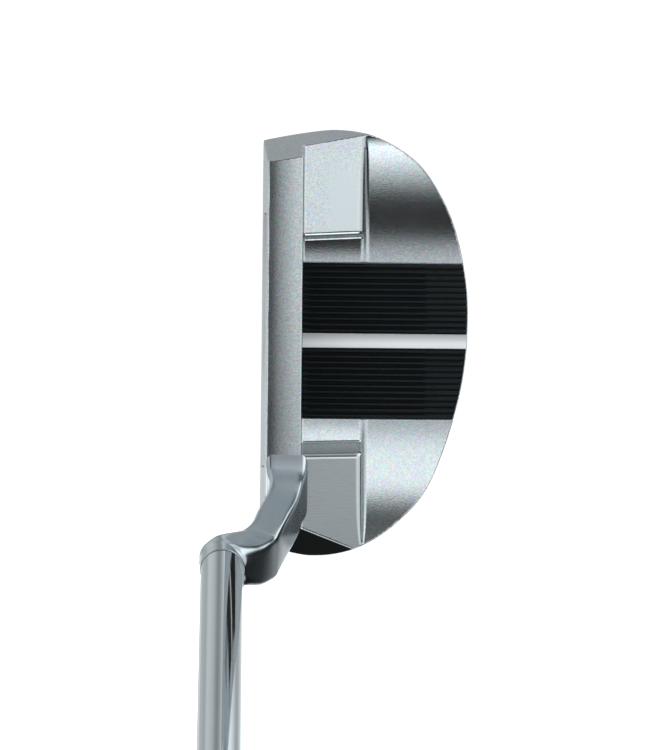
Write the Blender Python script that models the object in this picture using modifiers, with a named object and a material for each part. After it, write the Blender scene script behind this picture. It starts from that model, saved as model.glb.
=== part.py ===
"""Mallet putter, right-handed, 34 inch, in the address position.

Frame: origin on the sole under the sight line, -X towards the target (the face),
+Y towards the toe, +Z up. The shaft leans towards the golfer, to -Y.
Dimensions are in millimetres; to_metres() turns them into Blender's metres.
"""

import math

import bmesh
import bpy
from mathutils import Matrix, Vector

MM = 0.001

# ---------------------------------------------------------------- dimensions
LIE = math.radians(70.0)
LOFT = math.radians(3.0)
CLUB_LENGTH = 863.6

FACE_X = -25.0
LEADING_EDGE_RADIUS = 3.1
TOPLINE_REAR_X = -15.5
TOPLINE_Z = 25.0
TOPLINE_FALL = math.tan(math.radians(1.4))
TOPLINE_FALL_Y = -5.0
CROWN_RADIUS = 26.0
CROWN_X = -17.0

BLOCK_TOP_Z = 16.2
TOE_BLOCK_FALL = math.tan(math.radians(3.3))
HEEL_BLOCK_FALL = math.tan(math.radians(1.6))
BLOCK_INNER_Y = 24.0
STEP_X = -0.9

# Flat reliefs on the ends of the head: y at x = 0, slope with x, draft with height.
TOE_END = (48.5, 0.185, 0.31)
HEEL_END = (50.0, 0.38, 0.6)

# The cavity: its floor, where its walls meet the topline at block height, how far they
# splay towards the rear, and their draft.
FLOOR_Z = 9.4
TOE_WALL_Y = 24.5
TOE_WALL_SPLAY = 1.2
TOE_WALL_DRAFT = math.tan(math.radians(4.0))
HEEL_WALL_Y = 27.2
HEEL_WALL_SPLAY = 0.6
HEEL_WALL_DRAFT = math.tan(math.radians(24.0))
CAVITY_REAR_X = 8.0
CAVITY_CORNER = 0.8
CAVITY_REAR_CORNER = 0.2

FLANGE_Z = 8.2
FLANGE_FLAT = 19.0
FLANGE_RADIUS = 66.0

INLAY_HALF = 18.6
INLAY_BED_Z = 6.9
INLAY_TOP_Z = 9.75
SIGHT_HALF = 1.6
RIB_COUNT = 12
RIB_PITCH = 1.4
RIB_DEPTH = 0.7
GLUE = 0.3
GAP = 0.12

INSERT_LENGTH = 60.0
INSERT_HEIGHT = 16.0
INSERT_DEPTH = 3.2
INSERT_CORNER = 4.0
INSERT_Z = 13.2
INSERT_FIT = 0.15
INSERT_GLUE_MARGIN = 1.0

WEIGHT_Y = 30.0
WEIGHT_X = 2.0
WEIGHT_RADIUS = 6.2
WEIGHT_STEM_RADIUS = 4.1
WEIGHT_DEPTH = 6.0
KEY_RADIUS = 2.4
WEIGHT_RECESS = 0.5
ORING_RADIUS = 5.1
ORING_THICKNESS = 0.84

FOOT_Z = 25.1
TENON_X = -19.6
TENON_Y = -34.0
TENON_RADIUS = 2.9
TENON_LENGTH = 9.0

HOSEL = Vector((-33.7, -52.8, 67.0))
HOSEL_RADIUS = 5.15
SPUD_RADIUS = 4.0
SPUD_LENGTH = 34.0

SHAFT_TIP_RADIUS = 4.95
SHAFT_WALL = 0.6
FIRST_STEP = 190.0
STEP_COUNT = 10
STEP_LENGTH = 28.0
STEP_RISE = 0.24

GRIP_LENGTH = 266.0
TAPE_WALL = 0.25
CAP_LENGTH = 4.0
VENT_RADIUS = 1.6

TURN_STEPS = 24

SHAFT_AXIS = Vector((0.0, -math.cos(LIE), math.sin(LIE)))
SHAFT_FRONT = Vector((0.0, math.sin(LIE), math.cos(LIE)))
SHAFT_BUTT = CLUB_LENGTH - HOSEL.z / math.sin(LIE)
BUTT_RADIUS = SHAFT_TIP_RADIUS + STEP_COUNT * STEP_RISE

# Outline of the head from above, heel front to toe front: x, y, heading in degrees.
OUTLINE_KNOTS = (
    (-29.0, -48.6, -14.0),
    (-12.8, -51.15, 0.0),
    (0.3, -47.9, 27.0),
    (10.1, -40.5, 44.0),
    (16.9, -29.8, 68.0),
    (21.2, -16.7, 75.0),
    (24.0, 6.3, 90.0),
    (21.6, 23.7, 104.0),
    (16.0, 36.7, 122.0),
    (9.4, 44.15, 144.5),
    (0.0, 48.9, 163.0),
    (-9.5, 50.2, 180.0),
    (-29.0, 46.9, 198.0),
)
OUTLINE_STEPS = 6

# How far the head's outline is drawn in at each height: height, inset.
SOLE_PROFILE = (
    (0.0, 11.0),
    (0.5, 6.0),
    (1.5, 2.8),
    (3.2, 0.8),
    (5.5, 0.0),
    (30.0, 0.0),
)

# Neck stations, foot to hosel. Each gives the two corners of the toe side, target
# side first, the middle of the golfer side, and how round the section is, up to 1.
NECK_STATIONS = (
    ((-23.8, -27.0, 25.1), (-14.0, -27.0, 25.1), (-18.9, -41.6, 25.1), 0.30),
    ((-23.7, -28.6, 26.2), (-14.1, -28.6, 26.2), (-18.9, -42.0, 25.4), 0.28),
    ((-23.5, -30.2, 27.5), (-14.3, -30.2, 27.5), (-18.9, -42.3, 26.0), 0.26),
    ((-23.1, -31.6, 29.2), (-14.6, -31.6, 29.2), (-18.8, -42.6, 26.8), 0.24),
    ((-22.9, -32.8, 31.1), (-15.0, -32.8, 31.3), (-18.9, -43.0, 28.0), 0.22),
    ((-23.4, -35.0, 33.9), (-15.8, -35.9, 35.5), (-19.6, -45.0, 29.7), 0.22),
    ((-25.7, -39.3, 41.7), (-18.2, -40.4, 43.6), (-22.0, -49.5, 37.5), 0.22),
    ((-27.9, -42.9, 48.0), (-20.5, -44.5, 50.8), (-24.2, -53.3, 44.3), 0.22),
    ((-29.2, -43.8, 49.8), (-21.1, -45.7, 52.2), (-25.1, -54.2, 46.1), 0.22),
    ((-30.4, -44.0, 51.9), (-22.5, -46.9, 56.2), (-26.5, -54.7, 49.5), 0.24),
    ((-32.0, -44.0, 54.4), (-24.3, -47.9, 60.3), (-28.2, -55.1, 53.2), 0.32),
    ((-34.1, -44.0, 57.3), (-26.3, -48.2, 64.2), (-30.2, -55.2, 57.0), 0.46),
    ((-36.8, -44.3, 60.2), (-28.1, -48.1, 67.2), (-32.4, -55.6, 60.1), 0.72),
    ((-38.9, -45.2, 61.2), (-28.6, -47.7, 67.9), (-33.7, -56.1, 61.1), 0.96),
    ((-38.9, -46.6, 65.0), (-28.6, -47.8, 68.3), (-33.7, -56.9, 63.1), 1.00),
)

# Grip sections from its mouth to its butt: distance along, half width, depth behind
# the shaft's axis. The flat front stays at one distance ahead of the axis.
GRIP_STATIONS = (
    (0.0, 9.2, 9.2),
    (4.0, 10.0, 10.0),
    (40.0, 10.6, 10.7),
    (90.0, 11.2, 11.6),
    (140.0, 11.9, 12.6),
    (180.0, 12.6, 14.4),
    (210.0, 13.2, 17.2),
    (235.0, 13.6, 19.2),
    (252.0, 13.6, 19.4),
    (262.0, 13.2, 18.8),
    (266.0, 12.4, 17.8),
)
GRIP_FLAT = 10.4


# ------------------------------------------------------------------- helpers
def clear_scene():
    for item in list(bpy.data.objects):
        bpy.data.objects.remove(item)


def collection(name):
    made = bpy.data.collections.new(name)
    bpy.context.scene.collection.children.link(made)
    return made


def material(name, colour, roughness, metallic):
    made = bpy.data.materials.new(name)
    made.use_nodes = True
    shader = made.node_tree.nodes["Principled BSDF"]
    shader.inputs["Base Color"].default_value = (*colour, 1.0)
    shader.inputs["Roughness"].default_value = roughness
    shader.inputs["Metallic"].default_value = metallic
    return made


def to_metres(points):
    return [Vector(p) * MM for p in points]


def add_object(name, mesh, group, finish=None, matrix=None):
    made = bpy.data.objects.new(name, mesh)
    group.objects.link(made)
    if finish:
        mesh.materials.append(finish)
    if matrix:
        made.matrix_world = matrix
    return made


def add_cutter(name, mesh, matrix=None):
    made = add_object(name, mesh, CUTTERS, matrix=matrix)
    made.hide_render = True
    made.display_type = "WIRE"
    return made


def loft_mesh(name, rings):
    """A closed skin through rings of equal length, with a flat cap at each end."""
    bm = bmesh.new()
    rows = [[bm.verts.new(p) for p in to_metres(ring)] for ring in rings]
    count = len(rows[0])
    for low, high in zip(rows, rows[1:]):
        for i in range(count):
            j = (i + 1) % count
            bm.faces.new((low[i], low[j], high[j], high[i]))
    bm.faces.new(list(reversed(rows[0])))
    bm.faces.new(rows[-1])
    bmesh.ops.recalc_face_normals(bm, faces=bm.faces)
    mesh = bpy.data.meshes.new(name)
    bm.to_mesh(mesh)
    bm.free()
    return mesh


def sleeve_mesh(name, outer, inner):
    """A closed sleeve: outer and inner skins of equal rings, joined at both ends."""
    bm = bmesh.new()
    rows = [[bm.verts.new(p) for p in to_metres(ring)] for ring in outer]
    rows += [[bm.verts.new(p) for p in to_metres(ring)] for ring in reversed(inner)]
    count = len(rows[0])
    for low, high in zip(rows, rows[1:] + rows[:1]):
        for i in range(count):
            j = (i + 1) % count
            bm.faces.new((low[i], low[j], high[j], high[i]))
    bmesh.ops.recalc_face_normals(bm, faces=bm.faces)
    mesh = bpy.data.meshes.new(name)
    bm.to_mesh(mesh)
    bm.free()
    return mesh


def plate_mesh(name, points, thickness):
    """A flat outline given as x, y points, filled and extruded evenly about z = 0."""
    curve = bpy.data.curves.new(name, "CURVE")
    curve.dimensions = "2D"
    curve.fill_mode = "BOTH"
    curve.extrude = thickness * MM / 2.0
    spline = curve.splines.new("POLY")
    spline.points.add(len(points) - 1)
    for point, (x, y) in zip(spline.points, points):
        point.co = (x * MM, y * MM, 0.0, 1.0)
    spline.use_cyclic_u = True
    guide = bpy.data.objects.new(name, curve)
    bpy.context.scene.collection.objects.link(guide)
    evaluated = guide.evaluated_get(bpy.context.evaluated_depsgraph_get())
    mesh = bpy.data.meshes.new_from_object(evaluated)
    bpy.data.objects.remove(guide)
    bm = bmesh.new()
    bm.from_mesh(mesh)
    bmesh.ops.remove_doubles(bm, verts=bm.verts, dist=0.00001)
    bmesh.ops.recalc_face_normals(bm, faces=bm.faces)
    bm.to_mesh(mesh)
    bm.free()
    return mesh


def cone_mesh(name, low_radius, high_radius, height, segments=TURN_STEPS):
    """A closed cylinder or cone standing on z = 0."""
    bm = bmesh.new()
    bmesh.ops.create_cone(
        bm,
        cap_ends=True,
        segments=segments,
        radius1=low_radius * MM,
        radius2=high_radius * MM,
        depth=height * MM,
        matrix=Matrix.Translation((0.0, 0.0, height * MM / 2.0)),
    )
    mesh = bpy.data.meshes.new(name)
    bm.to_mesh(mesh)
    bm.free()
    return mesh


def boolean(item, other, operation):
    step = item.modifiers.new(f"{operation.lower()}_{other.name}", "BOOLEAN")
    step.operation = operation
    step.object = other
    step.solver = "EXACT"


def arc(centre, radius, start, end, count):
    """Points on an arc, angles in degrees."""
    cx, cy = centre
    turn = [math.radians(start + (end - start) * i / count) for i in range(count + 1)]
    return [(cx + radius * math.cos(a), cy + radius * math.sin(a)) for a in turn]


def rounded_corners(corners, radii, count=4):
    """A closed counter-clockwise polygon with each corner rounded to its radius."""
    points = []
    for i, corner in enumerate(corners):
        here = Vector(corner)
        before = (Vector(corners[i - 1]) - here).normalized()
        after = (Vector(corners[(i + 1) % len(corners)]) - here).normalized()
        half = before.angle(after) / 2.0
        reach = radii[i] / math.tan(half)
        start = here + before * reach
        end = here + after * reach
        centre = here + (before + after).normalized() * (radii[i] / math.sin(half))
        a0 = math.atan2(start.y - centre.y, start.x - centre.x)
        a1 = math.atan2(end.y - centre.y, end.x - centre.x)
        sweep = (a1 - a0) % (2.0 * math.pi)
        for k in range(count + 1):
            a = a0 + sweep * k / count
            points.append(
                (
                    centre.x + radii[i] * math.cos(a),
                    centre.y + radii[i] * math.sin(a),
                )
            )
    return points


def bezier(p0, p1, heading0, heading1, count):
    """Points from p0 up to, but without, p1 on a cubic with the given end headings."""
    reach = (Vector(p1) - Vector(p0)).length * 0.36
    a = Vector((math.cos(heading0), math.sin(heading0))) * reach
    b = Vector((math.cos(heading1), math.sin(heading1))) * reach
    c0 = Vector(p0)
    c3 = Vector(p1)
    c1 = c0 + a
    c2 = c3 - b
    points = []
    for i in range(count):
        t = i / count
        s = 1.0 - t
        spot = c0 * s**3 + c1 * 3 * s * s * t + c2 * 3 * s * t * t + c3 * t**3
        points.append(spot)
    return points


def head_outline(inset):
    """The head's outline as x, y points, drawn in by inset along its normals."""
    points = []
    for (x0, y0, h0), (x1, y1, h1) in zip(OUTLINE_KNOTS, OUTLINE_KNOTS[1:]):
        points += bezier(
            (x0, y0), (x1, y1), math.radians(h0), math.radians(h1), OUTLINE_STEPS
        )
    points.append(Vector(OUTLINE_KNOTS[-1][:2]))
    moved = []
    for i, spot in enumerate(points):
        ahead = points[min(i + 1, len(points) - 1)]
        behind = points[max(i - 1, 0)]
        along = (ahead - behind).normalized()
        inward = Vector((-along.y, along.x))
        moved.append(tuple(spot + inward * inset))
    return moved


def face_x(z):
    """Where the lofted face stands at height z."""
    return FACE_X + (z - LEADING_EDGE_RADIUS) * math.tan(LOFT)


def flange_z(y):
    """Height of the flange: flat in the middle, curling up towards toe and heel."""
    beyond = max(abs(y) - FLANGE_FLAT, 0.0)
    return FLANGE_Z + FLANGE_RADIUS - math.sqrt(FLANGE_RADIUS**2 - beyond**2)


# ---------------------------------------------------------------------- head
def head_blank():
    rings = []
    for height, inset in SOLE_PROFILE:
        rings.append([(x, y, height) for x, y in head_outline(inset)])
    return loft_mesh("head_body", rings)


def block_z(y):
    """Height of the blocks: level between them, falling towards toe and heel."""
    fall = TOE_BLOCK_FALL if y > 0.0 else HEEL_BLOCK_FALL
    return BLOCK_TOP_Z - fall * max(abs(y) - BLOCK_INNER_Y, 0.0)


def topline_z(y):
    """Height of the topline: level at the heel, falling towards the toe."""
    return TOPLINE_Z - TOPLINE_FALL * max(y - TOPLINE_FALL_Y, 0.0)


def side_envelope():
    """Sole, leading edge, lofted face, crowned topline and block level, as sections
    seen from the toe and joined across the whole head."""
    front = math.degrees(math.acos((face_x(TOPLINE_Z) - CROWN_X) / CROWN_RADIUS))
    lead_centre = (FACE_X + LEADING_EDGE_RADIUS, LEADING_EDGE_RADIUS)
    rings = []
    for y in (-60.0, -BLOCK_INNER_Y, TOPLINE_FALL_Y, BLOCK_INNER_Y, 60.0):
        points = [(40.0, 0.0), (40.0, block_z(y)), (TOPLINE_REAR_X, block_z(y))]
        points.append((TOPLINE_REAR_X, topline_z(y)))
        crown_centre = (CROWN_X, topline_z(y) - CROWN_RADIUS)
        points += arc(crown_centre, CROWN_RADIUS, 90.0, front, 8)
        points += arc(lead_centre, LEADING_EDGE_RADIUS, 180.0, 270.0, 5)
        rings.append([(x, y, z) for x, z in points])
    return add_cutter("cut_side_envelope", loft_mesh("cut_side_envelope", rings))


def flange_cutter():
    """What lies above the flange: a wall at the step with a fillet at its foot and a
    rounded edge on the blocks above it."""
    rings = []
    for i in range(25):
        y = -54.0 + 4.5 * i
        low = flange_z(y)
        room = max(BLOCK_TOP_Z - low, 0.4)
        foot = min(1.5, room * 0.45)
        brow = min(2.0, room * 0.5)
        ring = [(30.0, low), (30.0, 40.0), (STEP_X - brow, 40.0)]
        ring += arc((STEP_X - brow, BLOCK_TOP_Z - brow), brow, 90.0, 0.0, 4)
        ring += arc((STEP_X + foot, low + foot), foot, 180.0, 270.0, 4)
        rings.append([(x, y, z) for x, z in ring])
    return add_cutter("cut_flange", loft_mesh("cut_flange", rings))


def cavity_cutter():
    """The open cavity between the blocks, with drafted walls and round corners."""
    sections = []
    for height in (FLOOR_Z, 40.0):
        toe_shift = TOE_WALL_DRAFT * (height - BLOCK_TOP_Z)
        heel_shift = HEEL_WALL_DRAFT * (height - BLOCK_TOP_Z)
        corners = [
            (TOPLINE_REAR_X, -HEEL_WALL_Y - heel_shift),
            (CAVITY_REAR_X, -HEEL_WALL_Y + HEEL_WALL_SPLAY - heel_shift),
            (CAVITY_REAR_X, TOE_WALL_Y + TOE_WALL_SPLAY + toe_shift),
            (TOPLINE_REAR_X, TOE_WALL_Y + toe_shift),
        ]
        radii = (CAVITY_CORNER, CAVITY_REAR_CORNER, CAVITY_REAR_CORNER, CAVITY_CORNER)
        section = rounded_corners(corners, radii)
        sections.append([(x, y, height) for x, y in section])
    return add_cutter("cut_cavity", loft_mesh("cut_cavity", sections))


def end_cutter(name, side, y_at_origin, slope, draft):
    """The flat relief on the toe (side 1) or heel (side -1) end of the head. At block
    height it runs through y_at_origin at x = 0 and leans back as it goes forward."""
    rings = []
    for z in (-12.0, 45.0):
        shift = draft * (z - BLOCK_TOP_Z)
        ring = []
        for x, extra in ((-60.0, 0.0), (12.0, 0.0), (12.0, 80.0), (-60.0, 80.0)):
            y = y_at_origin + slope * x - shift + extra
            ring.append((x, side * y, z))
        rings.append(ring)
    return add_cutter(name, loft_mesh(name, rings))


def inlay_bed_cutter():
    corners = [
        (TOPLINE_REAR_X, -INLAY_HALF),
        (40.0, -INLAY_HALF),
        (40.0, INLAY_HALF),
        (TOPLINE_REAR_X, INLAY_HALF),
    ]
    mesh = plate_mesh("cut_inlay_bed", corners, 20.0)
    place = Matrix.Translation((0.0, 0.0, (INLAY_BED_Z + 10.0) * MM))
    return add_cutter(mesh.name, mesh, place)


def face_frame(z, lift):
    """Matrix whose local z leaves the face at height z; lift is the way out of it."""
    normal = Vector((-math.cos(LOFT), 0.0, math.sin(LOFT)))
    across = Vector((0.0, 1.0, 0.0))
    up = normal.cross(across)
    spot = Vector((face_x(z), 0.0, z)) + normal * lift
    frame = Matrix((across, up, normal)).transposed().to_4x4()
    frame.translation = spot * MM
    return frame


def insert_outline(shrink):
    half_l = INSERT_LENGTH / 2.0 - shrink
    half_h = INSERT_HEIGHT / 2.0 - shrink
    corners = [
        (-half_l, -half_h),
        (half_l, -half_h),
        (half_l, half_h),
        (-half_l, half_h),
    ]
    return rounded_corners(corners, [INSERT_CORNER - shrink] * 4, 5)


def insert_pocket_cutter():
    depth = INSERT_DEPTH + GLUE + GAP
    mesh = plate_mesh("cut_face_pocket", insert_outline(0.0), depth + 4.0)
    return add_cutter(mesh.name, mesh, face_frame(INSERT_Z, 2.0 - depth / 2.0))


def weight_seat_cutter(name, y):
    """A counterbore for the weight's head and a plain bore for its stem."""
    head = cone_mesh(name, WEIGHT_RADIUS + 0.2, WEIGHT_RADIUS + 0.2, 4.5)
    spot = Matrix.Translation(Vector((WEIGHT_X, y, -1.0)) * MM)
    return add_cutter(name, head, spot)


def weight_bore_cutter(name, y):
    radius = WEIGHT_STEM_RADIUS + 0.2
    stem = cone_mesh(name, radius, radius, WEIGHT_DEPTH + 1.0)
    spot = Matrix.Translation(Vector((WEIGHT_X, y, -0.5)) * MM)
    return add_cutter(name, stem, spot)


def tenon_socket_cutter():
    mesh = cone_mesh("cut_tenon_socket", TENON_RADIUS + 0.2, TENON_RADIUS + 0.2, 20.0)
    spot = Vector((TENON_X, TENON_Y, FOOT_Z - TENON_LENGTH - 0.5)) * MM
    return add_cutter(mesh.name, mesh, Matrix.Translation(spot))


def build_head():
    head = add_object("head_body", head_blank(), PARTS, STEEL)
    boolean(head, side_envelope(), "INTERSECT")
    boolean(head, flange_cutter(), "DIFFERENCE")
    boolean(head, cavity_cutter(), "DIFFERENCE")
    boolean(head, end_cutter("cut_toe_end", 1.0, *TOE_END), "DIFFERENCE")
    boolean(head, end_cutter("cut_heel_end", -1.0, *HEEL_END), "DIFFERENCE")
    boolean(head, inlay_bed_cutter(), "DIFFERENCE")
    boolean(head, insert_pocket_cutter(), "DIFFERENCE")
    boolean(head, tenon_socket_cutter(), "DIFFERENCE")
    for end, y in (("toe", WEIGHT_Y), ("heel", -WEIGHT_Y)):
        boolean(head, weight_seat_cutter(f"cut_{end}_weight_seat", y), "DIFFERENCE")
        boolean(head, weight_bore_cutter(f"cut_{end}_weight_bore", y), "DIFFERENCE")


# -------------------------------------------------------------------- inlays
def inlay_trim(name):
    """The head's outline drawn in a little, to end the inlays flush at the rear."""
    mesh = plate_mesh(name, head_outline(0.25), 30.0)
    return add_cutter(name, mesh, Matrix.Translation((0.0, 0.0, 0.010)))


def ribbed_section(low_y, high_y):
    """Cross section in y, z: a flat plate under round-topped ribs."""
    bottom = INLAY_BED_Z + GLUE + GAP
    groove = INLAY_TOP_Z - RIB_DEPTH
    points = [(low_y, bottom), (high_y, bottom), (high_y, groove)]
    first = (low_y + high_y) / 2.0 + RIB_PITCH * (RIB_COUNT - 1) / 2.0
    for i in range(RIB_COUNT):
        y = first - RIB_PITCH * i
        points += [
            (y + 0.50, groove),
            (y + 0.30, INLAY_TOP_Z - 0.08),
            (y + 0.15, INLAY_TOP_Z),
            (y - 0.15, INLAY_TOP_Z),
            (y - 0.30, INLAY_TOP_Z - 0.08),
            (y - 0.50, groove),
        ]
    points.append((low_y, groove))
    return points


def along_x(section, x0, x1, name):
    """Extrude a y, z section from x0 to x1."""
    mesh = plate_mesh(name, section, x1 - x0)
    turn = Matrix(((0, 0, 1, 0), (1, 0, 0, 0), (0, 1, 0, 0), (0, 0, 0, 1)))
    place = Matrix.Translation(((x0 + x1) * MM / 2.0, 0.0, 0.0)) @ turn
    mesh.transform(place)
    return mesh


def build_inlays(trim):
    front = TOPLINE_REAR_X + GAP
    inner = SIGHT_HALF + GAP
    outer = INLAY_HALF - GAP
    glue_low = INLAY_BED_Z + GAP / 2.0
    glue_high = INLAY_BED_Z + GLUE
    for end, low, high in (("toe", inner, outer), ("heel", -outer, -inner)):
        name = f"{end}_ribbed_inlay"
        mesh = along_x(ribbed_section(low, high), front, 30.0, name)
        boolean(add_object(name, mesh, PARTS, BLACK), trim, "INTERSECT")
        name = f"{end}_inlay_adhesive"
        pad = [
            (low + 1.0, glue_low),
            (high - 1.0, glue_low),
            (high - 1.0, glue_high),
            (low + 1.0, glue_high),
        ]
        mesh = along_x(pad, front + 1.0, 14.0, name)
        add_object(name, mesh, PARTS, ADHESIVE)
    bar = [
        (-SIGHT_HALF, INLAY_BED_Z + GAP),
        (SIGHT_HALF, INLAY_BED_Z + GAP),
        (SIGHT_HALF, INLAY_TOP_Z - 0.15),
        (SIGHT_HALF - 0.15, INLAY_TOP_Z),
        (-SIGHT_HALF + 0.15, INLAY_TOP_Z),
        (-SIGHT_HALF, INLAY_TOP_Z - 0.15),
    ]
    mesh = along_x(bar, front, 30.0, "sight_line_bar")
    boolean(add_object("sight_line_bar", mesh, PARTS, WHITE), trim, "INTERSECT")


# ------------------------------------------------------- face insert, weights
def build_face_insert():
    mesh = plate_mesh("face_insert", insert_outline(INSERT_FIT), INSERT_DEPTH)
    place = face_frame(INSERT_Z, -INSERT_DEPTH / 2.0)
    add_object("face_insert", mesh, PARTS, INSERT, place)
    mesh = plate_mesh("face_insert_adhesive", insert_outline(INSERT_GLUE_MARGIN), GLUE - GAP)
    lift = -INSERT_DEPTH - GLUE / 2.0 - GAP / 2.0
    add_object("face_insert_adhesive", mesh, PARTS, ADHESIVE, face_frame(INSERT_Z, lift))


def build_weight(end, y):
    """A screw-in sole weight with a hex key socket, and the O-ring under its head."""
    head = cone_mesh(f"{end}_sole_weight", WEIGHT_RADIUS, WEIGHT_RADIUS, 2.0)
    spot = Vector((WEIGHT_X, y, WEIGHT_RECESS)) * MM
    weight = add_object(head.name, head, PARTS, WEIGHT, Matrix.Translation(spot))
    radius = WEIGHT_STEM_RADIUS
    stem = cone_mesh(f"cut_{end}_stem", radius, radius, WEIGHT_DEPTH - 1.2)
    boolean(weight, add_cutter(stem.name, stem, Matrix.Translation(spot)), "UNION")
    key = cone_mesh(f"cut_{end}_key", KEY_RADIUS, KEY_RADIUS, 3.5, 6)
    below = Matrix.Translation(spot - Vector((0.0, 0.0, 0.5)) * MM)
    boolean(weight, add_cutter(key.name, key, below), "DIFFERENCE")

    spot = Vector((WEIGHT_X, y, WEIGHT_RECESS + 2.5)) * MM
    section = arc((ORING_RADIUS, 0.0), ORING_THICKNESS / 2.0, 360.0, 45.0, 7)
    turned(f"{end}_weight_oring", section, Matrix.Translation(spot), RUBBER)


# ---------------------------------------------------------------------- neck
def neck_ring(station):
    """One section of the neck: a rounded rectangle, or an oval when fully round, set by
    its toe-side corners and the middle of its golfer side."""
    left, right, golfer, roundness = station
    left, right, golfer = Vector(left), Vector(right), Vector(golfer)
    toe = (left + right) / 2.0
    square = [(-1.0, -1.0), (1.0, -1.0), (1.0, 1.0), (-1.0, 1.0)]
    ring = []
    for u, v in rounded_corners(square, [min(roundness, 0.999)] * 4, 5):
        ring.append((toe + golfer + (right - left) * u + (toe - golfer) * v) / 2.0)
    return ring


def hosel_station():
    """The round rim, square to the shaft's axis."""
    across = SHAFT_FRONT.cross(SHAFT_AXIS) * HOSEL_RADIUS
    reach = SHAFT_FRONT * HOSEL_RADIUS
    return (HOSEL - across + reach, HOSEL + across + reach, HOSEL - reach, 1.0)


def neck_mesh():
    stations = [*NECK_STATIONS, hosel_station()]
    return loft_mesh("hosel_neck", [neck_ring(station) for station in stations])


def axis_frame(distance):
    """Matrix on the shaft's axis, local z up the shaft, local y to its flat front."""
    right = SHAFT_FRONT.cross(SHAFT_AXIS)
    frame = Matrix((right, SHAFT_FRONT, SHAFT_AXIS)).transposed().to_4x4()
    frame.translation = (HOSEL + SHAFT_AXIS * distance) * MM
    return frame


def build_neck():
    neck = add_object("hosel_neck", neck_mesh(), PARTS, SATIN)
    spud = cone_mesh("cut_spud", SPUD_RADIUS, SPUD_RADIUS - 0.05, SPUD_LENGTH + 2.0)
    boolean(neck, add_cutter("cut_spud", spud, axis_frame(-2.0)), "UNION")
    tenon = cone_mesh("cut_tenon", TENON_RADIUS, TENON_RADIUS, TENON_LENGTH + 2.0)
    spot = Vector((TENON_X, TENON_Y, FOOT_Z - TENON_LENGTH)) * MM
    boolean(neck, add_cutter("cut_tenon", tenon, Matrix.Translation(spot)), "UNION")


# ------------------------------------------------------------ shaft and grip
def turned(name, profile, frame, finish):
    """Turn a closed r, z profile about local z with a Screw modifier. The profile
    runs down the outer side first, so the faces point out."""
    mesh = bpy.data.meshes.new(name)
    bm = bmesh.new()
    verts = [bm.verts.new(Vector((r, 0.0, z)) * MM) for r, z in profile]
    for i, vert in enumerate(verts):
        bm.edges.new((vert, verts[(i + 1) % len(verts)]))
    bm.to_mesh(mesh)
    bm.free()
    item = add_object(name, mesh, PARTS, finish, frame)
    screw = item.modifiers.new("turn", "SCREW")
    screw.axis = "Z"
    screw.steps = TURN_STEPS
    screw.render_steps = TURN_STEPS
    screw.use_merge_vertices = True
    screw.merge_threshold = 0.00001
    screw.use_smooth_shade = True
    return item


def build_shaft():
    top = SHAFT_BUTT - CAP_LENGTH - 0.3
    outer = [(BUTT_RADIUS, top)]
    for i in reversed(range(STEP_COUNT)):
        z = FIRST_STEP + STEP_LENGTH * i
        radius = SHAFT_TIP_RADIUS + STEP_RISE * i
        outer += [(radius + STEP_RISE, z + 1.2), (radius, z)]
    outer.append((SHAFT_TIP_RADIUS, 0.3))
    last_step = FIRST_STEP + STEP_LENGTH * STEP_COUNT
    bore = [
        (SHAFT_TIP_RADIUS - SHAFT_WALL, 0.3),
        (SHAFT_TIP_RADIUS - SHAFT_WALL, FIRST_STEP),
        (BUTT_RADIUS - SHAFT_WALL, last_step),
        (BUTT_RADIUS - SHAFT_WALL, top),
    ]
    turned("shaft", outer + bore, axis_frame(0.0), CHROME)


def build_epoxy():
    """The film of epoxy between the hosel's spud and the shaft's bore."""
    inner = SPUD_RADIUS + GAP / 2.0
    outer = SHAFT_TIP_RADIUS - SHAFT_WALL - GAP / 2.0
    low = 1.0
    high = SPUD_LENGTH - 2.0
    profile = [(outer, high), (outer, low), (inner, low), (inner, high)]
    turned("shaft_epoxy_film", profile, axis_frame(0.0), ADHESIVE)


def build_grip_tape():
    low = SHAFT_BUTT - CAP_LENGTH - GRIP_LENGTH + 2.0
    high = SHAFT_BUTT - CAP_LENGTH - 1.0
    inner = BUTT_RADIUS + 0.1
    outer = inner + TAPE_WALL
    profile = [(outer, high), (outer, low), (inner, low), (inner, high)]
    turned("grip_tape", profile, axis_frame(0.0), TAPE)


def grip_ring(half_width, back, z):
    """A grip section: flat in front at +y with round shoulders, round behind."""
    ring = []
    for i in range(TURN_STEPS):
        a = 2.0 * math.pi * i / TURN_STEPS
        x = half_width * math.cos(a)
        y = math.sin(a)
        if y > 0.0:
            y = GRIP_FLAT * min(half_width / 10.5, 1.0) * min(y * 1.45, 1.0)
        else:
            y = back * y
        ring.append((x, y, z))
    return ring


def circle_ring(radius, z):
    turn = [2.0 * math.pi * i / TURN_STEPS for i in range(TURN_STEPS)]
    return [(radius * math.cos(a), radius * math.sin(a), z) for a in turn]


def build_grip():
    bore = BUTT_RADIUS + TAPE_WALL + 0.2
    outer = [grip_ring(w, back, z) for z, w, back in GRIP_STATIONS]
    inner = [circle_ring(bore, z) for z, _, _ in GRIP_STATIONS]
    mesh = sleeve_mesh("grip", outer, inner)
    start = SHAFT_BUTT - CAP_LENGTH - GRIP_LENGTH
    add_object("grip", mesh, PARTS, RUBBER, axis_frame(start))


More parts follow.
